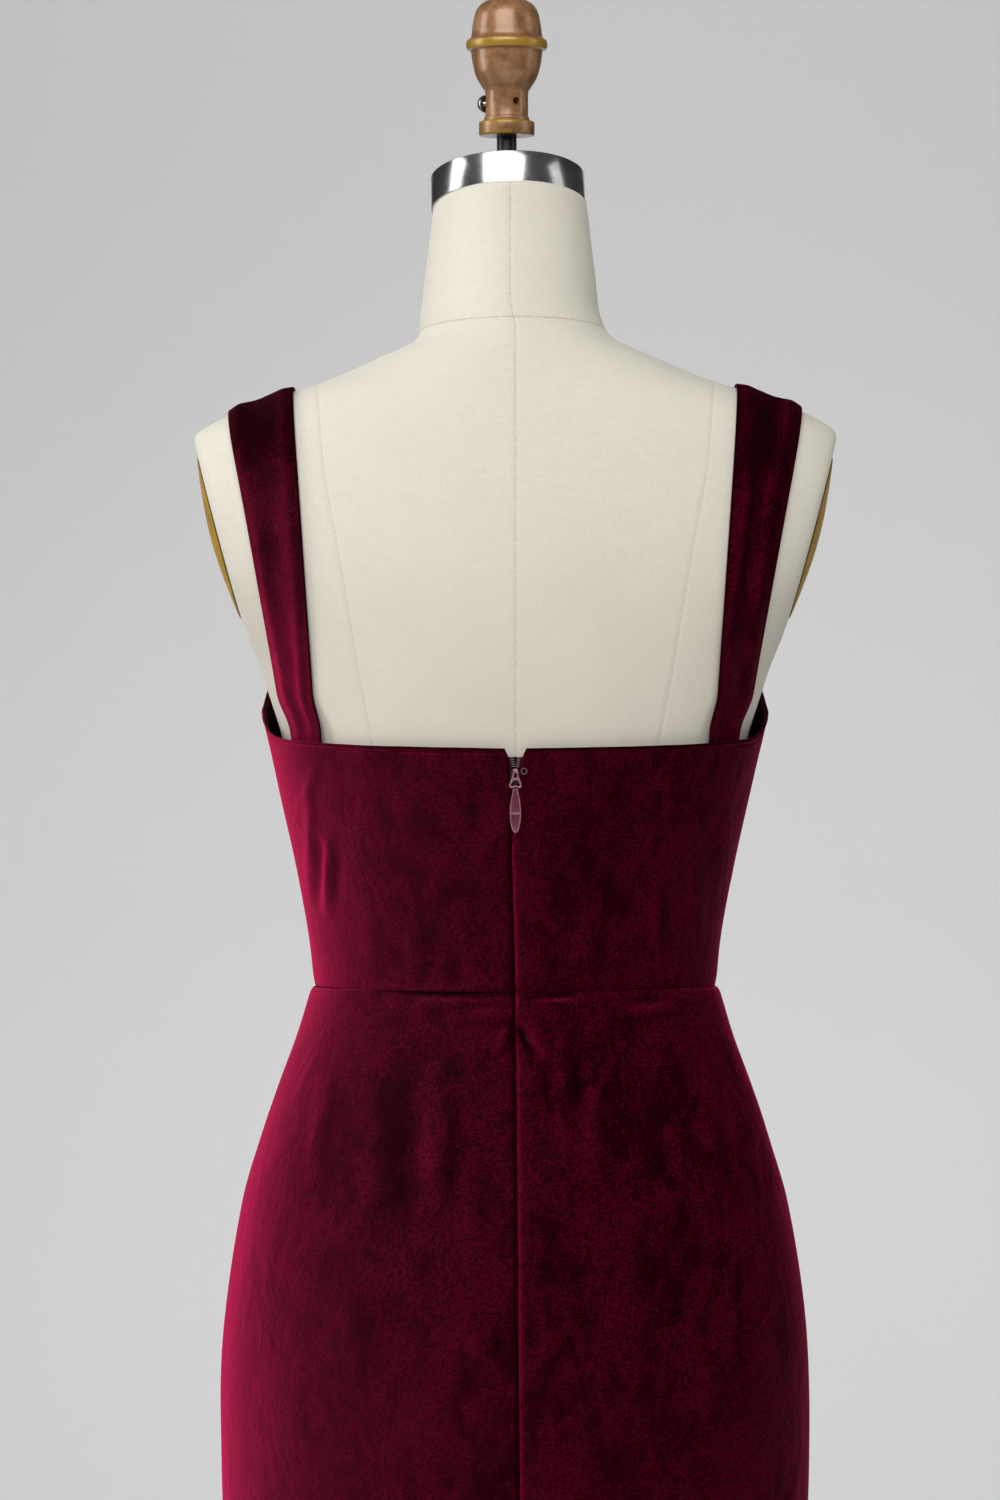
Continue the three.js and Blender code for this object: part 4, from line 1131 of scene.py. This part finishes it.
def zip_slider():
    """The slider's body in the notch, and the bail that stands off it."""
    half, shoulder, taper, middle = SLIDER["width"] / 2, 2.4, 1.1, PULL["hinge_z"]
    low, high = SLIDER["bottom"] - middle, SLIDER["top"] - middle
    body_outline = [
        (0.8, high), (half - taper, high - 0.3), (half, high - shoulder), (half, low + shoulder),
        (half - taper, low + 0.3), (0.8, low),
    ]
    set_in = (0, cloth_y + SLIDER["proud"] - SLIDER["thick"] / 2, middle)
    tip = (-math.atan(SLIDER["lean"]), 0, 0)
    body = outlined("slider_body", body_outline, SLIDER["thick"], (zip_dark,), set_in, tip)
    soften(body, 0.5)
    bail_outline = [
        (0.7, 10.7), (1.3, 10.1), (1.9, 6), (2.7, 4.2), (3.8, 0.8), (3.6, -0.1), (2.6, -PULL["bar"]),
    ]
    bail = outlined("slider_bail", bail_outline, 2 * PULL["bar"], (zip_rim,), hinge)
    windows = (
        [(0.9, 4), (1.6, 3.8), (2.7, 1.1), (2.4, PULL["bar"])],
        [(0.4, 8.4), (0.8, 8.0), (1.15, 6.9), (1.1, 5.4)],
    )
    for window in windows:
        cut_out(bail, outlined("window", window, 3 * PULL["bar"], place=hinge))
    nose = outlined(
        "slider_nose", [(1.2, 10.2), (1.2, 8.7)], PULL["out"] + PULL["bar"], (zip_enamel,),
        (0, hinge[1] - PULL["out"] / 2, middle),
    )
    soften(bail, 0.22)
    soften(nose, 0.3)
    return hand_in(joined(body, bail, nose), "zip_metal", "zip_slider")


zip_slider().name = "zip_slider_enamel"


# %% Pull
def zip_pull():
    """A leaf with a raised rim, a ledge across it, and an eye round the bail's bar."""
    leaf_half = [
        (1.5, -1.15), (1.6, -2.6), (1.9, -4), (2.4, -6.4), (2.8, -9), (3.15, -11.8), (3.3, -14.5),
        (3.3, -17), (3.1, -19.6), (2.75, -22), (2.2, -24.2), (1.5, -26), (0.7, -26.8),
    ]
    ledge = -15.6
    leaf = outlined("zip_pull_leaf", leaf_half, 1.0, (zip_rim, zip_enamel), hinge)
    bpy.ops.object.mode_set(mode="EDIT")
    bpy.ops.mesh.select_all(action="SELECT")
    at = (0, hinge[1] * MM, (hinge[2] + ledge) * MM)
    bpy.ops.mesh.bisect(plane_co=at, plane_no=(0, 0, 1), clear_inner=False, clear_outer=False)
    bpy.ops.mesh.select_all(action="DESELECT")
    bpy.ops.object.mode_set(mode="OBJECT")
    for face in leaf.data.polygons:
        face.select = abs(face.normal.y) > 0.9
    bpy.ops.object.mode_set(mode="EDIT")
    bpy.ops.mesh.select_mode(type="FACE")
    bpy.ops.mesh.inset(thickness=0.5 * MM, depth=0, use_individual=True)
    bpy.ops.mesh.inset(thickness=0.16 * MM, depth=-0.3 * MM, use_individual=True)
    leaf.active_material_index = 1
    bpy.ops.object.material_slot_assign()
    edit_done(leaf)
    soften(leaf, 0.1, 2, 30)
    inside, outside, half = PULL["eye_inside"], PULL["eye_outside"], PULL["eye_half"]
    ring = [(inside, -half), (outside, -half), (outside, half), (inside, half), (inside, -half)]
    eye = turned("pull_eye", ring, hinge, (0, math.pi / 2, 0), steps=32, materials=(zip_enamel,))
    soften(eye, 0.15, 2)
    return hand_in(joined(leaf, eye), "zip_metal", "zip_pull", body="pull_tab")


zip_pull()


# %% Coil teeth and thread eye in the notch
def coil_teeth():
    """The zip's open coil above the slider: one bent tooth, copied up both sides."""
    pitch, tooth_half, first = 1.3, 0.36, 1223.2
    teeth = []
    for i in range(5):
        for side in (1, -1):
            z = first + pitch * i + 0.3 * (side > 0)
            spread = 1.0 + 0.22 * i
            y = figure_point(bodice_sections, 90, z)[1] - CLOTH - ZIP["behind"] + 0.55
            tooth = outlined(
                "coil_tooth", [(0.95, tooth_half), (1.15, 0), (0.95, -tooth_half)], 0.8, (coil_nylon,),
                (side * spread * 1.15, y, z), (0, side * 0.14, 0),
            )
            teeth.append(soften(tooth, 0.14, 2))
    return joined(*teeth)


def thread_eye():
    """A small worked loop of thread at the top of the right panel."""
    ring_radius, thread = 1.7, 0.32
    ways = [math.radians(degrees) for degrees in range(0, 361, 45)]
    profile = [(ring_radius + thread * math.cos(way), thread * math.sin(way)) for way in ways]
    x, z = -5.1, 1220.6
    y = figure_point(bodice_sections, turn_at(bodice_sections, x, z), z)[1] + 0.3
    turn = (math.pi / 2 + 0.1, 0, 0)
    made = turned("thread_eye", profile, (x, y, z), turn, steps=32, materials=(sewing_thread,))
    return soften(made, 0.02, 1, 80)


teeth = hand_in(coil_teeth(), "zip_metal")
teeth.name = "zip_coil_teeth"
hand_in(thread_eye(), "velvet")

# %% [markdown]
# ## The dress form
#
# The form is a moulded body covered in cream linen, cut flat at the armholes and topped with a steel ring.
# The linen is sewn in panels: a seam down the centre back, one from each shoulder blade to the waist, and
# one round the base of the neck. The body is one closed skin, so it is made from rings that follow the
# table of sections, and each seam is a distance that the skin carries with it, from which the finish draws
# a fine puckered line.

# %% Linen
def make_linen():
    """Cream linen with slubs, a few warm stains, painted shade lower down, and the seams that the skin
    carries.
    """
    linen = new_material(
        "cream_linen", Roughness=0.86, Specular_IOR_Level=0.2, Sheen_Weight=0.12, Sheen_Roughness=0.5,
    )
    across = noise(linen, object_place(linen, (1, 1, 0.12)), 900, 3, 0.6)
    along = noise(linen, object_place(linen, (0.12, 0.12, 1)), 900, 3, 0.6)
    threads = maths(linen, "MULTIPLY", maths(linen, "ADD", across, along), 0.5)
    cloudy = between(linen, noise(linen, object_place(linen), 9, 4, 0.6), 0.35, 0.7)
    warm = between(linen, noise(linen, object_place(linen), 4.3, 2, 0.5, 0.4), 0.52, 0.75)
    colour = blend(linen, threads, (0.56, 0.525, 0.435, 1), (0.76, 0.73, 0.635, 1))
    # Painted shade: the linen is painted darker lower down, towards the dress's neckline.
    height = add_node(linen, "ShaderNodeSeparateXYZ", Vector=object_place(linen)).outputs["Z"]
    colour = blend(linen, between(linen, height, 1.4, 1.25, 0.0, 0.45), colour, (0.5, 0.46, 0.385, 1))
    colour = blend(linen, maths(linen, "MULTIPLY", cloudy, 0.3), colour, (0.73, 0.69, 0.585, 1))
    colour = blend(linen, maths(linen, "MULTIPLY", warm, 0.22), colour, (0.71, 0.62, 0.48, 1))
    stitches = between(linen, noise(linen, object_place(linen), 420, 1), 0.35, 0.6, 0.35, 1.0)
    normal = relief(linen, threads, 0.00012, 0.5)
    for seam, dark in (("centre_seam", 0.3), ("side_seam", 0.2), ("neck_seam", 0.42)):
        away = add_node(linen, "ShaderNodeAttribute", {"attribute_name": seam}).outputs["Fac"]
        away = maths(linen, "ABSOLUTE", away)
        line = between(linen, away, 0.25, 0.8, 1.0, 0.0)
        line = maths(linen, "MULTIPLY", maths(linen, "MULTIPLY", line, stitches), dark)
        colour = blend(linen, line, colour, (0.24, 0.19, 0.13, 1))
        groove = between(linen, away, 0.0, 2.6)
        normal = relief(linen, groove, 0.0004, 0.7, normal)
    paint(linen, colour, normal)
    return linen


linen = make_linen()

# %% Torso
ARM_PLANE = {"x": 192, "z": 1412, "lean": 0.268, "soft": 5}
POLE = {"radius": 16, "bottom": 8, "top": 800}
NECK_CAP = {"x": 4, "z": 1563, "radius": 46.9, "height": 20, "tilt": 0.261}
ROD = {"x": 5, "radius": 6, "bottom": 1548, "top": 1625}
SLIP = 0.35  # room round a rod or a pole in its hole
side_seam = np.array([
    [760, 96], [1000, 72], [1090, 64], [1239, 85.3], [1284, 94], [1329, 101], [1366, 107.7], [1400, 114],
    [1445, 118.2], [1470, 122],
])
NECK_SEAM = 1487


def form_skin(turn, z):
    """A point of the form's skin, cut softly at the armholes."""
    p = askew(figure_point(form_sections, turn, z), z)
    limit = ARM_PLANE["x"] + (p[..., 2] - ARM_PLANE["z"]) * ARM_PLANE["lean"]
    near = np.maximum(ARM_PLANE["soft"] - np.abs(np.abs(p[..., 0]) - limit), 0) / ARM_PLANE["soft"]
    cut = np.minimum(np.abs(p[..., 0]), limit) - near**2 * ARM_PLANE["soft"] / 4
    p[..., 0] = np.sign(p[..., 0]) * cut
    return p


def hole_ring(radius, x, z, turn, slope=(0, 0)):
    """A ring of a round hole, on a level or a sloping face."""
    px, py = radius * np.cos(np.radians(turn)) + x, radius * np.sin(np.radians(turn))
    return np.stack([px, py, np.broadcast_to(z + slope[0] * px + slope[1] * py, px.shape)], axis=-1)


TORSO_FOOT, TORSO_TOP = 760, NECK_CAP["z"]
torso_levels = np.concatenate([
    np.arange(TORSO_FOOT, 1380, 5), np.arange(1380, 1500, 1.6), np.arange(1500, TORSO_TOP, 3), [TORSO_TOP],
])
UNDER_RINGS = 6  # rings before the skin's first level


def torso_rings():
    """Rings from the end of the pole's hole, over the skin, to the end of the rod's hole."""
    turn = np.linspace(0, 360, 257)[:-1]
    levels = torso_levels
    side = form_skin(turn[None, :], levels[:, None])
    roll = LEAN["shoulders"] + LEAN["top"]
    top_z = NECK_CAP["z"] + roll * LEAN["neck"]
    top_hole = hole_ring(ROD["radius"] + SLIP, ROD["x"], top_z, turn, (-roll, NECK_CAP["tilt"]))
    low_hole = hole_ring(POLE["radius"] + SLIP, 0, levels[0], turn)
    half_way = [side[0] * (1 - s) + low_hole * s for s in (0.9, 0.5, 0.12, 0.03)]
    top_way = [side[-1] * (1 - s) + top_hole * s for s in (0.05, 0.3, 0.7)]
    pole_end = hole_ring(POLE["radius"] + SLIP, 0, POLE["top"] + 1, turn)
    rod_end = hole_ring(ROD["radius"] + SLIP, ROD["x"], ROD["bottom"] - 1, turn)
    return np.stack([pole_end, low_hole, *half_way, *side, *top_way, top_hole, rod_end])


def form_torso():
    """One closed skin, with the pole's hole under it and the rod's hole in its top."""
    rings = torso_rings()
    levels = torso_levels
    count, around = rings.shape[:2]
    index = np.arange(count * around).reshape(count, around)
    nxt = np.roll(index, -1, axis=1)
    faces = quads(index[:-1], nxt[:-1], nxt[1:], index[1:]).tolist()
    faces += [index[0][::-1].tolist(), index[-1].tolist()]
    mesh = bpy.data.meshes.new("linen_torso")
    mesh.from_pydata(rings.reshape(-1, 3) * MM, [], faces)
    section = np.full((count, around), levels[0], float)
    section[UNDER_RINGS:UNDER_RINGS + len(levels)] = levels[:, None]
    section[UNDER_RINGS + len(levels):] = levels[-1]
    x = rings[..., 0] - LEAN["neck"] * gentle(section, 1478, 1500)
    at_side = np.abs(x) - np.interp(rings[..., 2], side_seam[:, 0], side_seam[:, 1])
    for name, away in (("centre_seam", x), ("side_seam", at_side), ("neck_seam", section - NECK_SEAM)):
        mesh.attributes.new(name, "FLOAT", "POINT").data.foreach_set("value", away.ravel())
    mesh.materials.append(linen)
    mesh.shade_smooth()
    made = bpy.data.objects.new("linen_torso", mesh)
    scene.collection.objects.link(made)
    return hand_in(made, "form_linen", "form_torso")


form_torso()

# %% [markdown]
# ## Ring, finial and arm plates
#
# The ring is brushed steel, which shows the studio as hard bands of light and dark. The finial is a turned
# knob, painted copper and worn down to ochre on its flanges, clamped on the rod by a round-head screw.
# Turned parts start as one profile that is spun round.

# %% Paints of the form's fittings
def make_steel():
    """Steel brushed round the ring."""
    steel = new_material("brushed_steel", Metallic=1.0, Anisotropic=0.4)
    brushed = noise(steel, object_place(steel, (0.04, 0.04, 1)), 2600, 2, 0.6)
    stains = noise(steel, object_place(steel), 120, 3)
    colour = blend(steel, between(steel, stains, 0.3, 0.7), (0.34, 0.34, 0.35, 1), (0.42, 0.42, 0.43, 1))
    gloss = between(steel, brushed, 0.3, 0.7, 0.13, 0.2)
    paint(steel, colour, relief(steel, brushed, 0.000012, 0.3), gloss)
    return steel


BRIM = {"under": (1.6586, 1.6596), "over": (1.6638, 1.6652)}
COLLAR_FOOT = {"low_edge": (1.6086, 1.61), "high_edge": (1.6128, 1.6142), "over": (1.6158, 1.6172)}


def make_copper_paint():
    """Copper paint, worn to ochre on the two flanges and browned in small pits."""
    copper = new_material("worn_copper_paint", Metallic=0.3, Coat_Weight=0.6, Coat_Roughness=0.16)
    here = object_place(copper)
    height = add_node(copper, "ShaderNodeSeparateXYZ", Vector=here).outputs["Z"]
    wear = noise(copper, here, 110, 4, 0.65)
    pits = between(copper, noise(copper, here, 420, 3, 0.6), 0.62, 0.74)
    colour = blend(copper, between(copper, wear, 0.3, 0.7), (0.2, 0.085, 0.028, 1), (0.36, 0.18, 0.075, 1))
    under_brim = between(copper, height, *BRIM["over"], 1, 0)
    on_brim = maths(copper, "MULTIPLY", between(copper, height, *BRIM["under"]), under_brim)
    foot_top = between(copper, height, *COLLAR_FOOT["high_edge"])
    foot_bottom = between(copper, height, *COLLAR_FOOT["low_edge"], 1, 0)
    foot_edges = maths(copper, "MAXIMUM", foot_top, foot_bottom)
    on_foot = maths(copper, "MULTIPLY", foot_edges, between(copper, height, *COLLAR_FOOT["over"], 1, 0))
    chipped = between(copper, noise(copper, here, 190, 3), 0.36, 0.5)
    worn_foot = maths(copper, "MULTIPLY", on_foot, maths(copper, "MULTIPLY", chipped, 0.8))
    ochre_share = maths(copper, "MAXIMUM", on_brim, worn_foot)
    colour = blend(copper, ochre_share, colour, (0.36, 0.2, 0.012, 1))
    colour = blend(copper, maths(copper, "MULTIPLY", pits, 0.6), colour, (0.1, 0.045, 0.02, 1))
    gloss = between(copper, wear, 0.3, 0.7, 0.36, 0.5)
    paint(copper, colour, relief(copper, wear, 0.00025, 0.5), gloss)
    return copper


steel = make_steel()
copper_paint = make_copper_paint()
ochre_paint = make_metal(
    "ochre_paint", (0.34, 0.18, 0.004, 1), (0.52, 0.28, 0.008, 1), 0.34, 60, 0.00004, 0.0,
)
ochre_paint.node_tree.nodes["Principled BSDF"].inputs["Specular IOR Level"].default_value = 0.25
rim_paint = make_metal("dark_rim", (0.012, 0.01, 0.008, 1), (0.05, 0.04, 0.03, 1), 0.4, 200, 0.00004, 0.3)
black_metal = make_metal(
    "black_metal", (0.008, 0.008, 0.009, 1), (0.022, 0.022, 0.024, 1), 0.36, 300, 0.00003, 0.4,
)
black_iron = make_metal("cast_iron", (0.01, 0.01, 0.011, 1), (0.03, 0.03, 0.032, 1), 0.5, 420, 0.00016, 0.5)


# %% Neck ring and rod
def neck_ring():
    """The steel ring, with a thin lip round its top."""
    radius, height, hole = NECK_CAP["radius"], NECK_CAP["height"], ROD["radius"] + SLIP
    profile = [
        (hole, 0.3), (radius, 0.3), (radius, height), (radius - 1.4, height), (radius - 1.4, height - 1.5),
        (hole, height - 1.5), (hole, 0.3),
    ]
    roll = LEAN["shoulders"] + LEAN["top"]
    place = (NECK_CAP["x"], 0, NECK_CAP["z"] - (NECK_CAP["x"] - LEAN["neck"]) * roll)
    turn = (math.atan(NECK_CAP["tilt"]), math.atan(roll), 0)
    made = turned("steel_neck_ring", profile, place, turn, steps=160, materials=(steel,))
    return hand_in(soften(made, 0.35), "steel", "form_neck_cap")


neck_ring()
bottom, top = ROD["bottom"], ROD["top"]
rod_profile = [(0, bottom), (ROD["radius"], bottom), (ROD["radius"], top), (0, top)]
rod = turned("black_rod", rod_profile, (ROD["x"], 0, 0), steps=48, materials=(black_metal,))
hand_in(soften(rod, 0.6), "black_metal", "form_rod")

# %% Finial
COLLAR = {"radius": 13.1, "hole_z": 1626.5, "hole": 2.3, "turn": 27}
SCREW = {"head": 5.3, "thick": 4.2, "shank": 2.2, "long": 7.1}
HOLE_DEPTH = 14  # from the rod out through the collar
finial_profile = [
    (0, 1690.3), (6, 1690.25), (9.5, 1690.1), (12.2, 1689.4), (14.4, 1688.3), (16.2, 1686.9),
    (17.6, 1685.2), (18.8, 1683.1), (19.6, 1680.8), (20.2, 1678.4), (20.6, 1676), (21.1, 1673),
    (21.4, 1670), (21.7, 1668), (22.3, 1666.6), (23.2, 1665.6), (24.2, 1665.1), (24.8, 1664),
    (24.9, 1662.6), (24.8, 1660.8), (24.2, 1659.5), (22.6, 1658.9), (21.8, 1658.2), (21.6, 1656.4),
    (21.3, 1654), (21, 1651.6), (20.5, 1649.4), (19.9, 1646.6), (19, 1643.8), (17.8, 1641.1),
    (16.4, 1638.7), (14.9, 1636.5), (13.6, 1634.9), (COLLAR["radius"], 1633.4),
    (COLLAR["radius"], 1618.8), (13.8, 1618.1),
    (13.9, 1616.6), (13.7, 1615.9), (16.4, 1615.6), (17, 1615), (17, 1608), (16.4, 1607.1),
    (14, 1606.9), (6.35, 1606.9), (6.35, 1626), (0, 1626),
]


def round_hole(radius, long, place, turn):
    """A round cutter for a hole."""
    return turned("hole", [(0, 0), (radius, 0), (radius, long), (0, long)], place, turn, steps=24)


def finial():
    """The knob and its collar, with the screw's hole and a spare one."""
    made = turned("copper_finial", finial_profile, (ROD["x"], 0, 0), materials=(copper_paint,))
    inside = ROD["radius"] - 1
    at = math.radians(COLLAR["turn"])
    spare = (ROD["x"] - inside * math.sin(at), inside * math.cos(at), COLLAR["hole_z"] + 0.6)
    cut_out(made, round_hole(COLLAR["hole"], HOLE_DEPTH, spare, (-math.pi / 2, 0, at)))
    start = (ROD["x"] + inside, 0, COLLAR["hole_z"])
    screw_hole = round_hole(SCREW["shank"] + SLIP, HOLE_DEPTH, start, (0, math.pi / 2, 0))
    cut_out(made, screw_hole)
    return hand_in(soften(made, 0.3, 2, 40), "copper_paint", "form_finial")


def set_screw():
    """A round-head screw with its slot."""
    head, thick, shank = SCREW["head"], SCREW["thick"], SCREW["shank"]
    profile = [
        (0, thick), (1.6, thick - 0.15), (3, thick - 0.7), (4.1, thick - 1.6), (4.9, thick - 2.7),
        (head, thick - 3.6), (head, 0), (shank, 0), (shank, -SCREW["long"]), (0, -SCREW["long"]),
    ]
    made = turned("set_screw", profile, materials=(steel,), steps=40)
    slot = outlined("slot", [(0.45, 10), (0.45, -10)], 30)
    slot.location.z = (thick + 10 - 1.5) * MM
    cut_out(made, slot)
    bpy.ops.object.select_all(action="DESELECT")
    made.select_set(True)
    bpy.context.view_layer.objects.active = made
    edit_done(made, (ROD["x"] + COLLAR["radius"] + 0.3, 0, COLLAR["hole_z"]), (0.5, math.pi / 2, 0))
    return hand_in(soften(made, 0.2, 2, 40), "steel", "form_set_screw")


finial()
set_screw()

# %% Arm plates
ARM_PLATE = {"z": 1362.5, "half_height": 51, "half_depth": 40, "edge": 1.4, "dome": 6}


def arm_plate(side, name):
    """A domed oval plate in glossy ochre, with a dark rim."""
    edge, dome = ARM_PLATE["edge"], ARM_PLATE["dome"]
    reaches = np.linspace(0, 0.96, 17)
    arc = [(share, edge + (dome - edge) * math.cos(share * math.pi / 2)) for share in reaches]
    profile = [*arc, (0.985, edge), (1, edge * 0.6), (1, 0), (0, 0)]
    lean = math.atan(ARM_PLANE["lean"])
    x = ARM_PLANE["x"] + (ARM_PLATE["z"] - ARM_PLANE["z"]) * ARM_PLANE["lean"]
    place = (side * (x + 0.3 * math.cos(lean)), 0, ARM_PLATE["z"] - 0.3 * math.sin(lean))
    size = (ARM_PLATE["half_height"], ARM_PLATE["half_depth"], 1)
    made = turned(
        f"ochre_arm_plate_{name}", profile, place, (0, side * (math.pi / 2 + lean), 0), size, 96,
        (ochre_paint, rim_paint),
    )
    out = np.array([side * math.cos(lean), 0, -math.sin(lean)])
    for face in made.data.polygons:
        from_plane = (np.array(face.center) - np.array(place) * MM) @ out
        face.material_index = int(from_plane < 0.45 * MM)
    return hand_in(soften(made, 0.3, 2, 40), "ochre_paint", f"form_arm_plate_{name}")


arm_plate(1, "left")
arm_plate(-1, "right")

# %% [markdown]
# ## The stand
#
# The form stands on a pole in a round cast foot, which the skirt hides. It is black, with a boss that holds
# the pole.

# %% Foot and pole
FOOT = {"radius": 190, "boss": 26, "boss_top": 44}
hole = POLE["radius"] + SLIP
wide, boss, boss_top = FOOT["radius"], FOOT["boss"], FOOT["boss_top"]
seat = POLE["bottom"] - SLIP
foot_profile = [
    (hole, boss_top), (boss - 2, boss_top), (boss, boss_top - 2), (boss, 30), (27.6, 28), (27.6, 25),
    (boss, 23.4), (26.4, 20), (30, 16), (60, 14.6), (64, 15.6), (70, 15.6), (74, 14.2), (120, 12.5),
    (176, 10), (188, 8),
    (wide, 5), (wide, 0), (0, 0), (0, seat), (hole, seat), (hole, boss_top),
]
foot = turned("iron_foot", foot_profile, steps=128, materials=(black_iron,))
hand_in(soften(foot, 0.5, 2), "black_iron", "stand_foot")
thin, bottom, top = POLE["radius"], POLE["bottom"], POLE["top"]
pole_profile = [
    (0, bottom), (thin, bottom), (thin, 70), (17.5, 71), (17.5, 82), (thin, 83), (thin, top), (0, top),
]
pole = turned("iron_pole", pole_profile, steps=64, materials=(black_metal,))
hand_in(soften(pole, 0.5, 2), "black_iron", "stand_pole")
